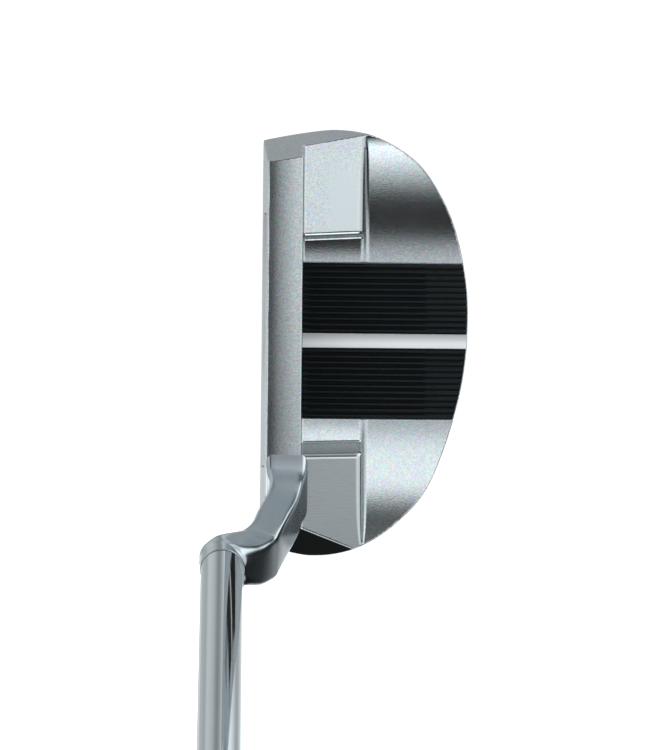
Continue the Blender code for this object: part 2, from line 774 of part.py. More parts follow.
def build_grip_cap():
    """The butt cap: a low dome on the grip's end section, with a vent hole."""
    half_width, back = GRIP_STATIONS[-1][1:]
    outer = []
    for z, scale in ((0.3, 1.0), (2.0, 0.98), (3.3, 0.88), (4.0, 0.70)):
        outer.append(grip_ring(half_width * scale, back * scale, z))
    inner = [circle_ring(VENT_RADIUS, z) for z in (0.3, 2.0, 3.3, 4.0)]
    mesh = sleeve_mesh("grip_end_cap", outer, inner)
    add_object("grip_end_cap", mesh, PARTS, RUBBER, axis_frame(SHAFT_BUTT - CAP_LENGTH))


def shade():
    for item in PARTS.objects:
        item.data.shade_smooth()
        item.data.set_sharp_from_angle(angle=math.radians(32.0))


clear_scene()
PARTS = collection("mallet_putter")
CUTTERS = collection("cutters")
STEEL = material("satin_steel", (0.55, 0.58, 0.60), 0.38, 1.0)
SATIN = material("polished_neck_steel", (0.58, 0.62, 0.65), 0.22, 1.0)
CHROME = material("chrome", (0.78, 0.81, 0.83), 0.06, 1.0)
BLACK = material("black_anodised", (0.015, 0.018, 0.020), 0.40, 0.6)
WHITE = material("white_paint", (0.85, 0.86, 0.86), 0.35, 0.0)
INSERT = material("milled_aluminium", (0.45, 0.47, 0.49), 0.35, 1.0)
WEIGHT = material("tungsten_weight", (0.35, 0.36, 0.37), 0.30, 1.0)
ADHESIVE = material("adhesive_film", (0.75, 0.72, 0.62), 0.60, 0.0)
TAPE = material("grip_tape", (0.80, 0.76, 0.62), 0.70, 0.0)
RUBBER = material("black_rubber", (0.02, 0.02, 0.02), 0.65, 0.0)

build_head()
build_inlays(inlay_trim("cut_inlay_trim"))
build_face_insert()
build_weight("toe", WEIGHT_Y)
build_weight("heel", -WEIGHT_Y)
build_neck()
build_epoxy()
build_shaft()
build_grip_tape()
build_grip()
build_grip_cap()
shade()
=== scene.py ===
"""Looks of the mallet putter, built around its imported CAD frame.

Shapes are worked out in millimetres, in the CAD's own frame: the origin is on the sole
under the sight line, -X is the target side, +Y the toe and +Z up.
"""

import math

import bmesh
import bpy
import numpy as np
from mathutils import Matrix, Vector


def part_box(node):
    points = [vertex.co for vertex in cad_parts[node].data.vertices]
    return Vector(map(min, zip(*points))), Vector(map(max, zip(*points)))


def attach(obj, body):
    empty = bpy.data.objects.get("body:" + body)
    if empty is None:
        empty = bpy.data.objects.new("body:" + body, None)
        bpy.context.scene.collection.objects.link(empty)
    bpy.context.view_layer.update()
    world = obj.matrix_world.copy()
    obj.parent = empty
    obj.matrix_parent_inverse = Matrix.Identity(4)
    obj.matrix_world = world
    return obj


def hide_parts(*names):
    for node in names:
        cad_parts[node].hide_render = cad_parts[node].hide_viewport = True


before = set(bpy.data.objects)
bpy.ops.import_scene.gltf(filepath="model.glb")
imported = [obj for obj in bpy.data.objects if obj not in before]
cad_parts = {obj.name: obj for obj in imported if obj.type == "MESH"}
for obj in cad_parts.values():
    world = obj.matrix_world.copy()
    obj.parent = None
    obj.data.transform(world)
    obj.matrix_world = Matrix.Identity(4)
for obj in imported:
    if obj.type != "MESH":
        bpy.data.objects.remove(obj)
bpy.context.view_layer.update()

MM = 0.001
BODY = "root"

# ---------------------------------------------------------------- dimensions
LIE = math.radians(70.0)
LOFT = math.radians(3.0)

FACE_X = -25.0
LEADING_EDGE_RADIUS = 3.1
TOPLINE_REAR_X = -15.5
TOPLINE_Z = 25.0
TOPLINE_FALL = math.tan(math.radians(1.4))
TOPLINE_FALL_Y = -5.0
TOPLINE_EASE = 30.0
CROWN_RADIUS = 26.0
CROWN_X = -17.0

BLOCK_TOP_Z = 16.2
TOE_BLOCK_FALL = math.tan(math.radians(3.3))
HEEL_BLOCK_FALL = math.tan(math.radians(1.6))
BLOCK_INNER_Y = 24.0
STEP_X = -0.9
FLANGE_Z = 8.2
FLANGE_FLAT = 19.0
FLANGE_RADIUS = 66.0
SOLE_REACH = 11.0
SOLE_RISE = 5.5

# The cavity: its dished floor, where its walls meet the topline at block height, how
# much they splay towards the rear, and their draft.
FLOOR_Z = 9.4
FLOOR_FLAT = 18.6
FLOOR_RADIUS = 36.0
TOE_WALL_Y = 24.5
TOE_WALL_SPLAY = 0.051
TOE_WALL_DRAFT = math.tan(math.radians(4.0))
HEEL_WALL_Y = 27.2
HEEL_WALL_SPLAY = 0.026
HEEL_WALL_DRAFT = math.tan(math.radians(24.0))
CAVITY_REAR_X = 9.0

# Flat reliefs on the ends of the head: y at x = 0, slope with x, draft with height.
TOE_END = (48.5, 0.185, 0.31)
HEEL_END = (50.0, 0.38, 0.6)

# Radii of the head's edges, and of the corners where its surfaces meet.
EDGE_RADIUS = 0.25
FACE_EDGE_RADIUS = 0.35
TOPLINE_EDGE_RADIUS = 0.45
BLOCK_EDGE_RADIUS = 0.9
STEP_BROW_RADIUS = 2.1
STEP_FOOT_RADIUS = 1.6
TOPLINE_FOOT_RADIUS = 0.6
FLOOR_CORNER_RADIUS = 0.5
POCKET_FLOOR_RADIUS = 0.3
BED_EDGE_RADIUS = 0.12
POCKET_EDGE_RADIUS = 0.15
SEAT_EDGE_RADIUS = 0.2

# Spacing of the grid that the head's surface is found on.
HEAD_STEP = 0.3

INLAY_HALF = 18.6
INLAY_BED_Z = 6.9
INLAY_TOP_Z = 9.75
SIGHT_HALF = 1.6
RIB_COUNT = 12
RIB_PITCH = 1.4
RIB_DEPTH = 0.7
RIB_HALF = 0.46
INLAY_EDGE = 0.18
INLAY_SETBACK = 0.25
GLUE = 0.3
GAP = 0.12

INSERT_LENGTH = 60.0
INSERT_HEIGHT = 16.0
INSERT_DEPTH = 3.2
INSERT_CORNER = 4.0
INSERT_Z = 13.2
INSERT_FIT = 0.15
INSERT_RIM = 0.18
MILLED_PITCH = 0.8
MILLED_DEPTH = 0.07
MILLED_MARGIN = 0.6

WEIGHT_Y = 30.0
WEIGHT_X = 2.0
WEIGHT_RADIUS = 6.2
WEIGHT_STEM_RADIUS = 4.1
WEIGHT_DEPTH = 6.0
WEIGHT_RECESS = 0.5
SEAT_ROOM = 0.2
SEAT_DEPTH = 3.5
KEY_FLAT = 2.1

HOSEL = np.array((-33.7, -52.8, 67.0))
HOSEL_RADIUS = 5.15
SPUD_RADIUS = 4.0
SPUD_LENGTH = 34.0

SHAFT_TIP_RADIUS = 4.95
SHAFT_WALL = 0.6
FIRST_STEP = 190.0
STEP_COUNT = 10
STEP_LENGTH = 28.0
STEP_RISE = 0.24

CLUB_LENGTH = 863.6
GRIP_LENGTH = 266.0
GRIP_BORE_ROOM = 0.45
CAP_LENGTH = 4.0
CAP_DOME_Z = 2.1
CAP_DOME_RISE = 1.65
CAP_GROOVE_DEPTH = 0.25
VENT_RADIUS = 1.6

UP = np.array((0.0, 0.0, 1.0))
SHAFT_AXIS = np.array((0.0, -math.cos(LIE), math.sin(LIE)))
SHAFT_FRONT = np.array((0.0, math.sin(LIE), math.cos(LIE)))
SHAFT_BUTT = CLUB_LENGTH - HOSEL[2] / math.sin(LIE)
BUTT_RADIUS = SHAFT_TIP_RADIUS + STEP_COUNT * STEP_RISE

# Outline of the head from above, heel front to toe front: x, y, heading in degrees, and
# how far each heading carries as a share of its span.
OUTLINE_KNOTS = (
    (-29.0, -48.6, -14.0),
    (-12.8, -51.15, 0.0),
    (0.3, -47.9, 27.0),
    (10.1, -40.5, 44.0),
    (16.9, -29.8, 68.0),
    (21.2, -16.7, 75.0),
    (24.0, 6.3, 90.0),
    (21.6, 23.7, 104.0),
    (16.0, 36.7, 122.0),
    (9.4, 44.15, 144.5),
    (0.0, 48.9, 163.0),
    (-9.5, 50.2, 180.0),
    (-29.0, 46.9, 198.0),
)
OUTLINE_REACH = 0.36

# Neck stations, foot to hosel. Each gives the two corners of the toe side, target
# side first, the middle of the golfer side, and how round the section is, up to 1.
NECK_STATIONS = (
    ((-23.8, -27.0, 25.1), (-14.0, -27.0, 25.1), (-18.9, -41.6, 25.1), 0.30),
    ((-23.7, -28.6, 26.2), (-14.1, -28.6, 26.2), (-18.9, -42.0, 25.4), 0.28),
    ((-23.5, -30.2, 27.5), (-14.3, -30.2, 27.5), (-18.9, -42.3, 26.0), 0.26),
    ((-23.1, -31.6, 29.2), (-14.6, -31.6, 29.2), (-18.8, -42.6, 26.8), 0.24),
    ((-22.9, -32.8, 31.1), (-15.0, -32.8, 31.3), (-18.9, -43.0, 28.0), 0.22),
    ((-23.4, -35.0, 33.9), (-15.8, -35.9, 35.5), (-19.6, -45.0, 29.7), 0.22),
    ((-25.7, -39.3, 41.7), (-18.2, -40.4, 43.6), (-22.0, -49.5, 37.5), 0.22),
    ((-27.9, -42.9, 48.0), (-20.5, -44.5, 50.8), (-24.2, -53.3, 44.3), 0.22),
    ((-29.2, -43.8, 49.8), (-21.1, -45.7, 52.2), (-25.1, -54.2, 46.1), 0.22),
    ((-30.4, -44.0, 51.9), (-22.5, -46.9, 56.2), (-26.5, -54.7, 49.5), 0.24),
    ((-32.0, -44.0, 54.4), (-24.3, -47.9, 60.3), (-28.2, -55.1, 53.2), 0.32),
    ((-34.1, -44.0, 57.3), (-26.3, -48.2, 64.2), (-30.2, -55.2, 57.0), 0.46),
    ((-36.8, -44.3, 60.2), (-28.1, -48.1, 67.2), (-32.4, -55.6, 60.1), 0.72),
    ((-38.9, -45.2, 61.2), (-28.6, -47.7, 67.9), (-33.7, -56.1, 61.1), 0.96),
    ((-38.9, -46.6, 65.0), (-28.6, -47.8, 68.3), (-33.7, -56.9, 63.1), 1.00),
)

# Grip sections from its mouth to its butt: distance along, half width, depth behind
# the shaft's axis. The flat front stays at one distance ahead of the axis.
GRIP_STATIONS = (
    (0.0, 9.2, 9.2),
    (4.0, 10.0, 10.0),
    (40.0, 10.6, 10.7),
    (90.0, 11.2, 11.6),
    (140.0, 11.9, 12.6),
    (180.0, 12.6, 14.4),
    (210.0, 13.2, 17.2),
    (235.0, 13.6, 19.2),
    (252.0, 13.6, 19.4),
    (262.0, 13.2, 18.8),
    (266.0, 12.4, 17.8),
)
GRIP_FLAT = 10.4
# The rubber's share of its CAD section, and its moulded pattern.
GRIP_SKIN = 0.985
GRIP_PLAIN = 14.0
DIMPLE_DEPTH = 0.35
DIAMOND_COUNT = 45.0
DIAMOND_PITCH = 6.0
BAR_PITCH = 4.0


# ------------------------------------------------------------ shader helpers
def node(tree, kind, inputs=None, **settings):
    """A new node with its settings, and its inputs set or linked."""
    made = tree.nodes.new(kind)
    for key, value in settings.items():
        setattr(made, key, value)
    for key, value in (inputs or {}).items():
        if isinstance(value, bpy.types.NodeSocket):
            tree.links.new(value, made.inputs[key])
        else:
            made.inputs[key].default_value = value
    return made


def maths(tree, operation, a, b=0.0):
    return node(tree, "ShaderNodeMath", {0: a, 1: b}, operation=operation).outputs[0]


def parts(tree, vector):
    """The X, Y and Z of a vector, as sockets."""
    return node(tree, "ShaderNodeSeparateXYZ", {0: vector}).outputs


def remap(tree, value, low, high, to_low=0.0, to_high=1.0):
    """A smooth step from to_low to to_high while value goes from low to high."""
    made = node(
        tree,
        "ShaderNodeMapRange",
        {"Value": value, "From Min": low, "From Max": high, "To Min": to_low, "To Max": to_high},
        interpolation_type="SMOOTHSTEP",
    )
    return made.outputs["Result"]


def mix_colour(tree, factor, a, b, blend="MIX"):
    made = node(tree, "ShaderNodeMix", {0: factor, 6: a, 7: b}, data_type="RGBA")
    made.blend_type = blend
    return made.outputs[2]


def place(tree, scale=(1.0, 1.0, 1.0)):
    """The point on the surface in the part's frame, in millimetres times scale."""
    here = node(tree, "ShaderNodeTexCoord").outputs["Object"]
    size = tuple(s / MM for s in scale)
    made = node(tree, "ShaderNodeVectorMath", {0: here, 1: size}, operation="MULTIPLY")
    return made.outputs[0]


def noise(tree, scale, detail, rough):
    """Noise with its features per millimetre along X, Y and Z: a level and a colour."""
    made = node(
        tree,
        "ShaderNodeTexNoise",
        {"Vector": place(tree, scale), "Scale": 1.0, "Detail": detail, "Roughness": rough},
    )
    return made.outputs["Fac"], made.outputs["Color"]


def bump(tree, height, strength, distance_mm):
    inputs = {"Height": height, "Strength": strength, "Distance": distance_mm * MM}
    return node(tree, "ShaderNodeBump", inputs).outputs["Normal"]


def new_material(name, metallic, colour=(0.5, 0.5, 0.5), roughness=0.5):
    made = bpy.data.materials.new(name)
    made.use_nodes = True
    tree = made.node_tree
    shader = tree.nodes["Principled BSDF"]
    shader.inputs["Metallic"].default_value = metallic
    shader.inputs["Base Color"].default_value = (*colour, 1.0)
    shader.inputs["Roughness"].default_value = roughness
    return made, tree, shader


def finished(made, colour, rough, normal):
    """The material, with its colour, roughness and relief linked to its shader."""
    shader = made.node_tree.nodes["Principled BSDF"]
    for key, socket in (("Base Color", colour), ("Roughness", rough), ("Normal", normal)):
        made.node_tree.links.new(socket, shader.inputs[key])
    return made


# ----------------------------------------------------------------- materials
def satin_steel():
    """Cast steel: bead-blasted with a fine sparkle, brushed along X on the blocks, and
    rougher on the end of the toe."""
    made, tree, _ = new_material("satin_steel", 1.0)
    bare = (0.62, 0.66, 0.68, 1.0)
    spot = parts(tree, place(tree))
    over_floor = remap(tree, spot["Z"], 15.0, 15.5)
    under_topline = remap(tree, spot["Z"], 17.5, 17.0)
    on_block = maths(tree, "MULTIPLY", over_floor, under_topline)
    heel_side = maths(tree, "SUBTRACT", 1.0, remap(tree, spot["Y"], -4.0, 4.0))
    past_middle = remap(tree, spot["X"], -11.5, -7.0)
    reached = maths(tree, "MAXIMUM", past_middle, heel_side)
    brushed = maths(tree, "MULTIPLY", on_block, reached)
    grain, tints = noise(tree, (3.2, 3.2, 3.2), 2.0, 0.7)
    lines, _ = noise(tree, (0.25, 6.0, 3.0), 3.0, 0.6)
    clouds, _ = noise(tree, (0.05, 0.05, 0.05), 3.0, 0.5)
    cells = node(tree, "ShaderNodeTexVoronoi", {"Vector": place(tree), "Scale": 3.0})
    sparkling = mix_colour(tree, 0.3, bare, cells.outputs["Color"], "OVERLAY")
    plain = mix_colour(tree, 0.08, bare, tints, "OVERLAY")
    colour = mix_colour(tree, brushed, sparkling, plain)
    cloudy = remap(tree, clouds, 0.3, 0.7, 0.11, 0.14)
    rough = maths(tree, "ADD", cloudy, maths(tree, "MULTIPLY", grain, 0.04))
    to_toe = parts(tree, node(tree, "ShaderNodeNewGeometry").outputs["Normal"])["Y"]
    rough = maths(tree, "ADD", rough, remap(tree, to_toe, 0.7, 0.85, 0.0, 0.25))
    blasted = bump(tree, grain, 0.32, 0.05)
    scored = bump(tree, lines, 0.25, 0.02)
    sockets = {0: brushed, 4: blasted, 5: scored}
    normal = node(tree, "ShaderNodeMix", sockets, data_type="VECTOR").outputs[1]
    return finished(made, colour, rough, normal)


def polished_steel():
    """The neck: hand-polished along its length, with faint lines and smudges."""
    made, tree, _ = new_material("polished_neck_steel", 1.0)
    lines, _ = noise(tree, (5.0, 0.5, 0.5), 3.0, 0.6)
    clouds, _ = noise(tree, (0.08, 0.08, 0.08), 3.0, 0.5)
    colour = mix_colour(tree, clouds, (0.56, 0.62, 0.66, 1.0), (0.62, 0.68, 0.72, 1.0))
    rough = remap(tree, clouds, 0.25, 0.75, 0.17, 0.24)
    return finished(made, colour, rough, bump(tree, lines, 0.12, 0.015))


def chrome():
    """Plated steel: near a mirror, with the faint waviness of a drawn tube."""
    made, tree, _ = new_material("chrome_shaft", 1.0)
    waves, _ = noise(tree, (0.35, 0.05, 0.05), 2.0, 0.5)
    smudges, _ = noise(tree, (0.06, 0.06, 0.06), 4.0, 0.6)
    colour = mix_colour(tree, smudges, (0.60, 0.65, 0.68, 1.0), (0.66, 0.71, 0.74, 1.0))
    rough = remap(tree, smudges, 0.35, 0.75, 0.045, 0.10)
    return finished(made, colour, rough, bump(tree, waves, 0.2, 0.02))


def black_anodised():
    """Anodised aluminium ribs, satin, with fine mill lines along X and a painted highlight:
    paler colour along the rib crests, broken up by specks.
    """
    made, tree, shader = new_material("black_anodised", 0.0)
    lines, _ = noise(tree, (0.4, 7.0, 7.0), 2.0, 0.6)
    specks, _ = noise(tree, (1.5, 1.5, 1.5), 3.0, 0.6)
    height = parts(tree, place(tree))["Z"]
    # Painted highlight: the colour turns paler towards the tops of the ribs.
    painted_crest_highlight = remap(tree, height, INLAY_TOP_Z - 0.35, INLAY_TOP_Z - 0.02)
    lightened = maths(tree, "MULTIPLY", painted_crest_highlight, remap(tree, specks, 0.3, 0.7, 0.6, 1.0))
    colour = mix_colour(tree, lightened, (0.0006, 0.001, 0.0012, 1.0), (0.006, 0.011, 0.014, 1.0))
    rough = remap(tree, lines, 0.3, 0.7, 0.38, 0.52)
    shader.inputs["Specular IOR Level"].default_value = 0.12
    return finished(made, colour, rough, bump(tree, lines, 0.2, 0.02))


def white_paint():
    """Enamel on the sight line, with painted shade: its colour is darker towards the toe side.
    """
    made, tree, _ = new_material("white_paint", 0.0)
    across = parts(tree, place(tree))["Y"]
    peel, _ = noise(tree, (0.9, 0.9, 0.9), 2.0, 0.5)
    stains, _ = noise(tree, (0.12, 0.6, 0.6), 4.0, 0.6)
    full = mix_colour(tree, stains, (0.50, 0.52, 0.53, 1.0), (0.55, 0.57, 0.58, 1.0))
    # Painted shade: the paint's colour darkens across the line towards its toe side.
    painted_toe_shade = remap(tree, across, -0.8, SIGHT_HALF)
    colour = mix_colour(tree, painted_toe_shade, full, (0.27, 0.29, 0.30, 1.0))
    rough = remap(tree, stains, 0.3, 0.7, 0.28, 0.4)
    return finished(made, colour, rough, bump(tree, peel, 0.15, 0.02))


def milled_aluminium():
    """The face insert: cross-milled aluminium, duller where the ball strikes."""
    made, tree, _ = new_material("milled_aluminium", 1.0)
    spot = parts(tree, place(tree))
    lines, _ = noise(tree, (3.0, 0.3, 6.0), 3.0, 0.6)
    clouds, _ = noise(tree, (0.3, 0.3, 0.3), 4.0, 0.6)
    aside = maths(tree, "DIVIDE", spot["Y"], 14.0)
    upward = maths(tree, "DIVIDE", maths(tree, "SUBTRACT", spot["Z"], INSERT_Z), 6.0)
    off = node(tree, "ShaderNodeCombineXYZ", {"Y": aside, "Z": upward}).outputs[0]
    away = node(tree, "ShaderNodeVectorMath", {0: off}, operation="LENGTH").outputs["Value"]
    struck = maths(tree, "MULTIPLY", remap(tree, away, 1.2, 0.2), clouds)
    colour = mix_colour(tree, struck, (0.50, 0.52, 0.54, 1.0), (0.40, 0.41, 0.42, 1.0))
    rough = maths(tree, "ADD", 0.30, maths(tree, "MULTIPLY", struck, 0.22))
    return finished(made, colour, rough, bump(tree, lines, 0.3, 0.02))


def weight_steel():
    """Turned steel weights, finely grained and duller in places."""
    made, tree, _ = new_material("weight_steel", 1.0)
    grain, _ = noise(tree, (4.0, 4.0, 4.0), 2.0, 0.6)
    clouds, _ = noise(tree, (0.3, 0.3, 0.3), 3.0, 0.6)
    colour = mix_colour(tree, clouds, (0.42, 0.43, 0.44, 1.0), (0.50, 0.51, 0.52, 1.0))
    rough = remap(tree, clouds, 0.3, 0.7, 0.22, 0.34)
    return finished(made, colour, rough, bump(tree, grain, 0.15, 0.02))


def black_rubber():
    """Moulded rubber: fine grain, greyer where hands have rubbed it."""
    made, tree, _ = new_material("black_rubber", 0.0)
    grain, _ = noise(tree, (2.2, 2.2, 2.2), 3.0, 0.6)
    rubbed, _ = noise(tree, (0.03, 0.02, 0.02), 4.0, 0.6)
    lightened = remap(tree, rubbed, 0.4, 0.7)
    colour = mix_colour(tree, lightened, (0.010, 0.010, 0.011, 1.0), (0.022, 0.022, 0.023, 1.0))
    rough = remap(tree, rubbed, 0.3, 0.7, 0.50, 0.68)
    return finished(made, colour, rough, bump(tree, grain, 0.35, 0.06))


def adhesive():
    """Set epoxy: amber-white and slightly uneven."""
    made, tree, _ = new_material("adhesive_film", 0.0)
    blots, _ = noise(tree, (0.5, 0.5, 0.5), 3.0, 0.6)
    colour = mix_colour(tree, blots, (0.66, 0.58, 0.42, 1.0), (0.78, 0.74, 0.62, 1.0))
    rough = remap(tree, blots, 0.3, 0.7, 0.35, 0.55)
    return finished(made, colour, rough, bump(tree, blots, 0.3, 0.05))


def cloth_tape():
    """Double-sided grip tape: creped paper, pale and fibrous."""
    made, tree, _ = new_material("grip_tape", 0.0)
    crepe, _ = noise(tree, (1.2, 0.4, 6.0), 3.0, 0.6)
    colour = mix_colour(tree, crepe, (0.66, 0.60, 0.46, 1.0), (0.80, 0.75, 0.60, 1.0))
    rough = remap(tree, crepe, 0.3, 0.7, 0.70, 0.85)
    return finished(made, colour, rough, bump(tree, crepe, 0.5, 0.08))


STEEL = satin_steel()
NECK_STEEL = polished_steel()
CHROME = chrome()
BLACK = black_anodised()
WHITE = white_paint()
INSERT = milled_aluminium()
WEIGHT = weight_steel()
RUBBER = black_rubber()
EPOXY = adhesive()
TAPE = cloth_tape()


# -------------------------------------------------------------- mesh helpers
def add_piece(name, mesh, finish, slot, *stands_for):
    """A shown piece of the putter that takes the place of CAD nodes."""
    made = bpy.data.objects.new(name, mesh)
    bpy.context.scene.collection.objects.link(made)
    mesh.materials.append(finish)
    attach(made, BODY)
    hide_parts(*stands_for)
    return made


def mesh_from(name, points, faces, sharp_angle=None):
    """A smooth-shaded mesh from points in millimetres."""
    mesh = bpy.data.meshes.new(name)
    mesh.from_pydata((np.asarray(points) * MM).tolist(), [], [tuple(f) for f in faces])
    mesh.validate()
    bm = bmesh.new()
    bm.from_mesh(mesh)
    bmesh.ops.recalc_face_normals(bm, faces=bm.faces)
    bm.to_mesh(mesh)
    bm.free()
    mesh.shade_smooth()
    if sharp_angle:
        mesh.set_sharp_from_angle(angle=math.radians(sharp_angle))
    return mesh


def loft(name, rings, sharp_angle=None, hollow=False):
    """A skin through rings of equal length, capped flat, or closed on itself."""
    rings = [np.asarray(ring, float) for ring in rings]
    count = len(rings[0])
    here = np.arange(count)
    after = (here + 1) % count
    faces = []
    pairs = len(rings) if hollow else len(rings) - 1
    for k in range(pairs):
        low = count * k
        high = count * ((k + 1) % len(rings))
        faces += np.stack((low + here, low + after, high + after, high + here), 1).tolist()
    if not hollow:
        faces.append(here[::-1].tolist())
        faces.append((here + count * (len(rings) - 1)).tolist())
    return mesh_from(name, np.vstack(rings), faces, sharp_angle)


def smooth_rows(rows, count):
    """Rows of numbers joined by a smooth cubic spline, with count steps per span. The
    first column is the distance that the rows are spaced by."""
    rows = np.asarray(rows, float)
    at = rows[:, 0]
    slope = np.gradient(rows, at, axis=0)
    out = []
    for i in range(len(rows) - 1):
        span = at[i + 1] - at[i]
        for t in np.arange(count) / count:
            a = (1.0 + 2.0 * t) * (1.0 - t) ** 2
            b = t * (1.0 - t) ** 2 * span
            c = t * t * (3.0 - 2.0 * t)
            d = t * t * (t - 1.0) * span
            out.append(a * rows[i] + b * slope[i] + c * rows[i + 1] + d * slope[i + 1])
    out.append(rows[-1])
    return np.array(out)


def rounded_section(half_u, half_v, radius, corner_steps=8, side_steps=6):
    """Points u, v round a rounded rectangle, anticlockwise from its lower right."""
    radius = min(radius, half_u * 0.999, half_v * 0.999)
    inner_u = half_u - radius
    inner_v = half_v - radius
    points = []
    for k, (su, sv) in enumerate(((1, -1), (1, 1), (-1, 1), (-1, -1))):
        start = math.pi / 2.0 * (k - 1)
        for i in range(corner_steps + 1):
            a = start + math.pi / 2.0 * i / corner_steps
            u = su * inner_u + radius * math.cos(a)
            v = sv * inner_v + radius * math.sin(a)
            points.append((u, v))
        length = inner_v if k in (0, 2) else inner_u
        direction = (-math.sin(a), math.cos(a))
        for i in range(1, side_steps):
            reach = 2.0 * length * i / side_steps
            points.append((u + direction[0] * reach, v + direction[1] * reach))
    return np.array(points)


def full_turn(count):
    """Angles evenly round a circle."""
    return 2.0 * math.pi * np.arange(count) / count


def unit_circle(count):
    turn = full_turn(count)
    return np.stack((np.cos(turn), np.sin(turn), np.zeros(count)), 1)


def in_frame(placed, points):
    """Points given in a local frame, as (origin, x, y, z axes), in the part's frame."""
    origin, x, y, z = placed
    points = np.asarray(points, float)
    return origin + points[:, :1] * x + points[:, 1:2] * y + points[:, 2:3] * z


def axis_frame(distance):
    """On the shaft's axis: local z up the shaft, local y to its flat front."""
    right = np.cross(SHAFT_FRONT, SHAFT_AXIS)
    return (HOSEL + SHAFT_AXIS * distance, right, SHAFT_FRONT, SHAFT_AXIS)


# ------------------------------------------------------- the head as a field
def both(a, b, radius=0.0):
    """Inside a and inside b, with the edge between them rounded."""
    over = np.hypot(np.maximum(a + radius, 0.0), np.maximum(b + radius, 0.0))
    return np.minimum(np.maximum(a, b), -radius) + over


def either(a, b, radius=0.0):
    """Inside a or inside b, with a fillet in the corner between them."""
    return -both(-a, -b, radius)


def cut(a, tool, radius=0.0):
    """Inside a and outside the tool, with the new edges rounded."""
    return both(a, -tool, radius)


def heading(degrees):
    return np.array((math.cos(math.radians(degrees)), math.sin(math.radians(degrees))))


def outline_points(steps=60):
    """The head's outline as x, y, from heel front to toe front."""
    points = []
    knots = np.array(OUTLINE_KNOTS)
    for (x0, y0, h0), (x1, y1, h1) in zip(knots, knots[1:]):
        start = np.array((x0, y0))
        end = np.array((x1, y1))
        reach = np.linalg.norm(end - start) * OUTLINE_REACH
        lead = start + reach * heading(h0)
        trail = end - reach * heading(h1)
        t = np.arange(steps)[:, None] / steps
        s = 1.0 - t
        points.append(start * s**3 + lead * 3 * s * s * t + trail * 3 * s * t * t + end * t**3)
    points.append(knots[-1:, :2])
    return np.vstack(points)


OUTLINE = outline_points()
OUTLINE_CENTRE = np.array((-22.0, 0.0))


def run_on(inner, end, distances):
    """Points past an end of the outline, straight on from the point inside it."""
    ahead = (end - inner) / np.linalg.norm(end - inner)
    return end + ahead * distances[:, None]


def polar_outline():
    """Angle, radius and slope factor of the outline about OUTLINE_CENTRE. Both ends run
    on in their own directions, past the face."""
    reach = np.linspace(1.0, 30.0, 30)
    before = run_on(OUTLINE[1], OUTLINE[0], reach[::-1])
    beyond = run_on(OUTLINE[-2], OUTLINE[-1], reach)
    spokes = np.vstack((before, OUTLINE, beyond)) - OUTLINE_CENTRE
    angle = np.unwrap(np.arctan2(spokes[:, 1], spokes[:, 0]))
    radius = np.hypot(spokes[:, 0], spokes[:, 1])
    slope = np.gradient(radius, angle) / radius
    return angle, radius, 1.0 / np.sqrt(1.0 + slope * slope)


OUTLINE_POLAR = polar_outline()


def outline_distance(x, y):
    """How far a point lies outside the head's outline."""
    dx = x - OUTLINE_CENTRE[0]
    dy = y - OUTLINE_CENTRE[1]
    angle = np.arctan2(dy, dx)
    table, radius, factor = OUTLINE_POLAR
    beyond = np.hypot(dx, dy) - np.interp(angle, table, radius)
    return beyond * np.interp(angle, table, factor)


def face_x(z):
    """Where the lofted face stands at height z."""
    return FACE_X + (z - LEADING_EDGE_RADIUS) * math.tan(LOFT)


def curled(y, level, flat, radius):
    """Height and slope, at y, of a surface that is level in the middle of the head and
    curls up on an arc towards toe and heel."""
    beyond = np.minimum(np.maximum(np.abs(y) - flat, 0.0), 0.9 * radius)
    root = np.sqrt(radius**2 - beyond**2)
    return level + radius - root, beyond / root


def sole_edge(x, y, z):
    """The vertical outline wall and its elliptic turn into the flat sole."""
    wall = outline_distance(x, y)
    u = np.maximum(wall + SOLE_REACH, 0.0) / SOLE_REACH
    v = np.maximum(SOLE_RISE - z, 0.0) / SOLE_RISE
    size = np.hypot(u, v) + 1e-6
    scale = np.hypot(u / SOLE_REACH, v / SOLE_RISE) + 1e-6
    return (size - 1.0) * size / scale


def end_plane(x, y, z, side, y_at_origin, slope, draft):
    """The flat relief on the toe (side 1) or the heel (side -1) end of the head."""
    level = side * y - (y_at_origin + slope * x - draft * (z - BLOCK_TOP_Z))
    return level / math.sqrt(1.0 + slope * slope + draft * draft)


def above(z, rise_and_slope):
    """Inside the space above a surface given by its height and slope."""
    rise, slope = rise_and_slope
    return (rise - z) / np.sqrt(1.0 + slope * slope)


def at_most(limit, room):
    """A radius near the limit that shrinks smoothly to half of a small room."""
    return 1.0 / np.sqrt(1.0 / limit**2 + 4.0 / room**2)


def cavity_space(x, y, z):
    """The open space between the blocks: a dished floor and steep drafted walls."""
    floor = above(z, curled(y, FLOOR_Z, FLOOR_FLAT, FLOOR_RADIUS))
    depth = BLOCK_TOP_Z - z
    back = x - TOPLINE_REAR_X
    toe_wall = y - (TOE_WALL_Y + TOE_WALL_SPLAY * back - TOE_WALL_DRAFT * depth)
    heel_wall = -y - (HEEL_WALL_Y - HEEL_WALL_SPLAY * back - HEEL_WALL_DRAFT * depth)
    walls = both(toe_wall, heel_wall * math.cos(math.atan(HEEL_WALL_DRAFT)))
    return both(both(walls, floor, FLOOR_CORNER_RADIUS), x - CAVITY_REAR_X)


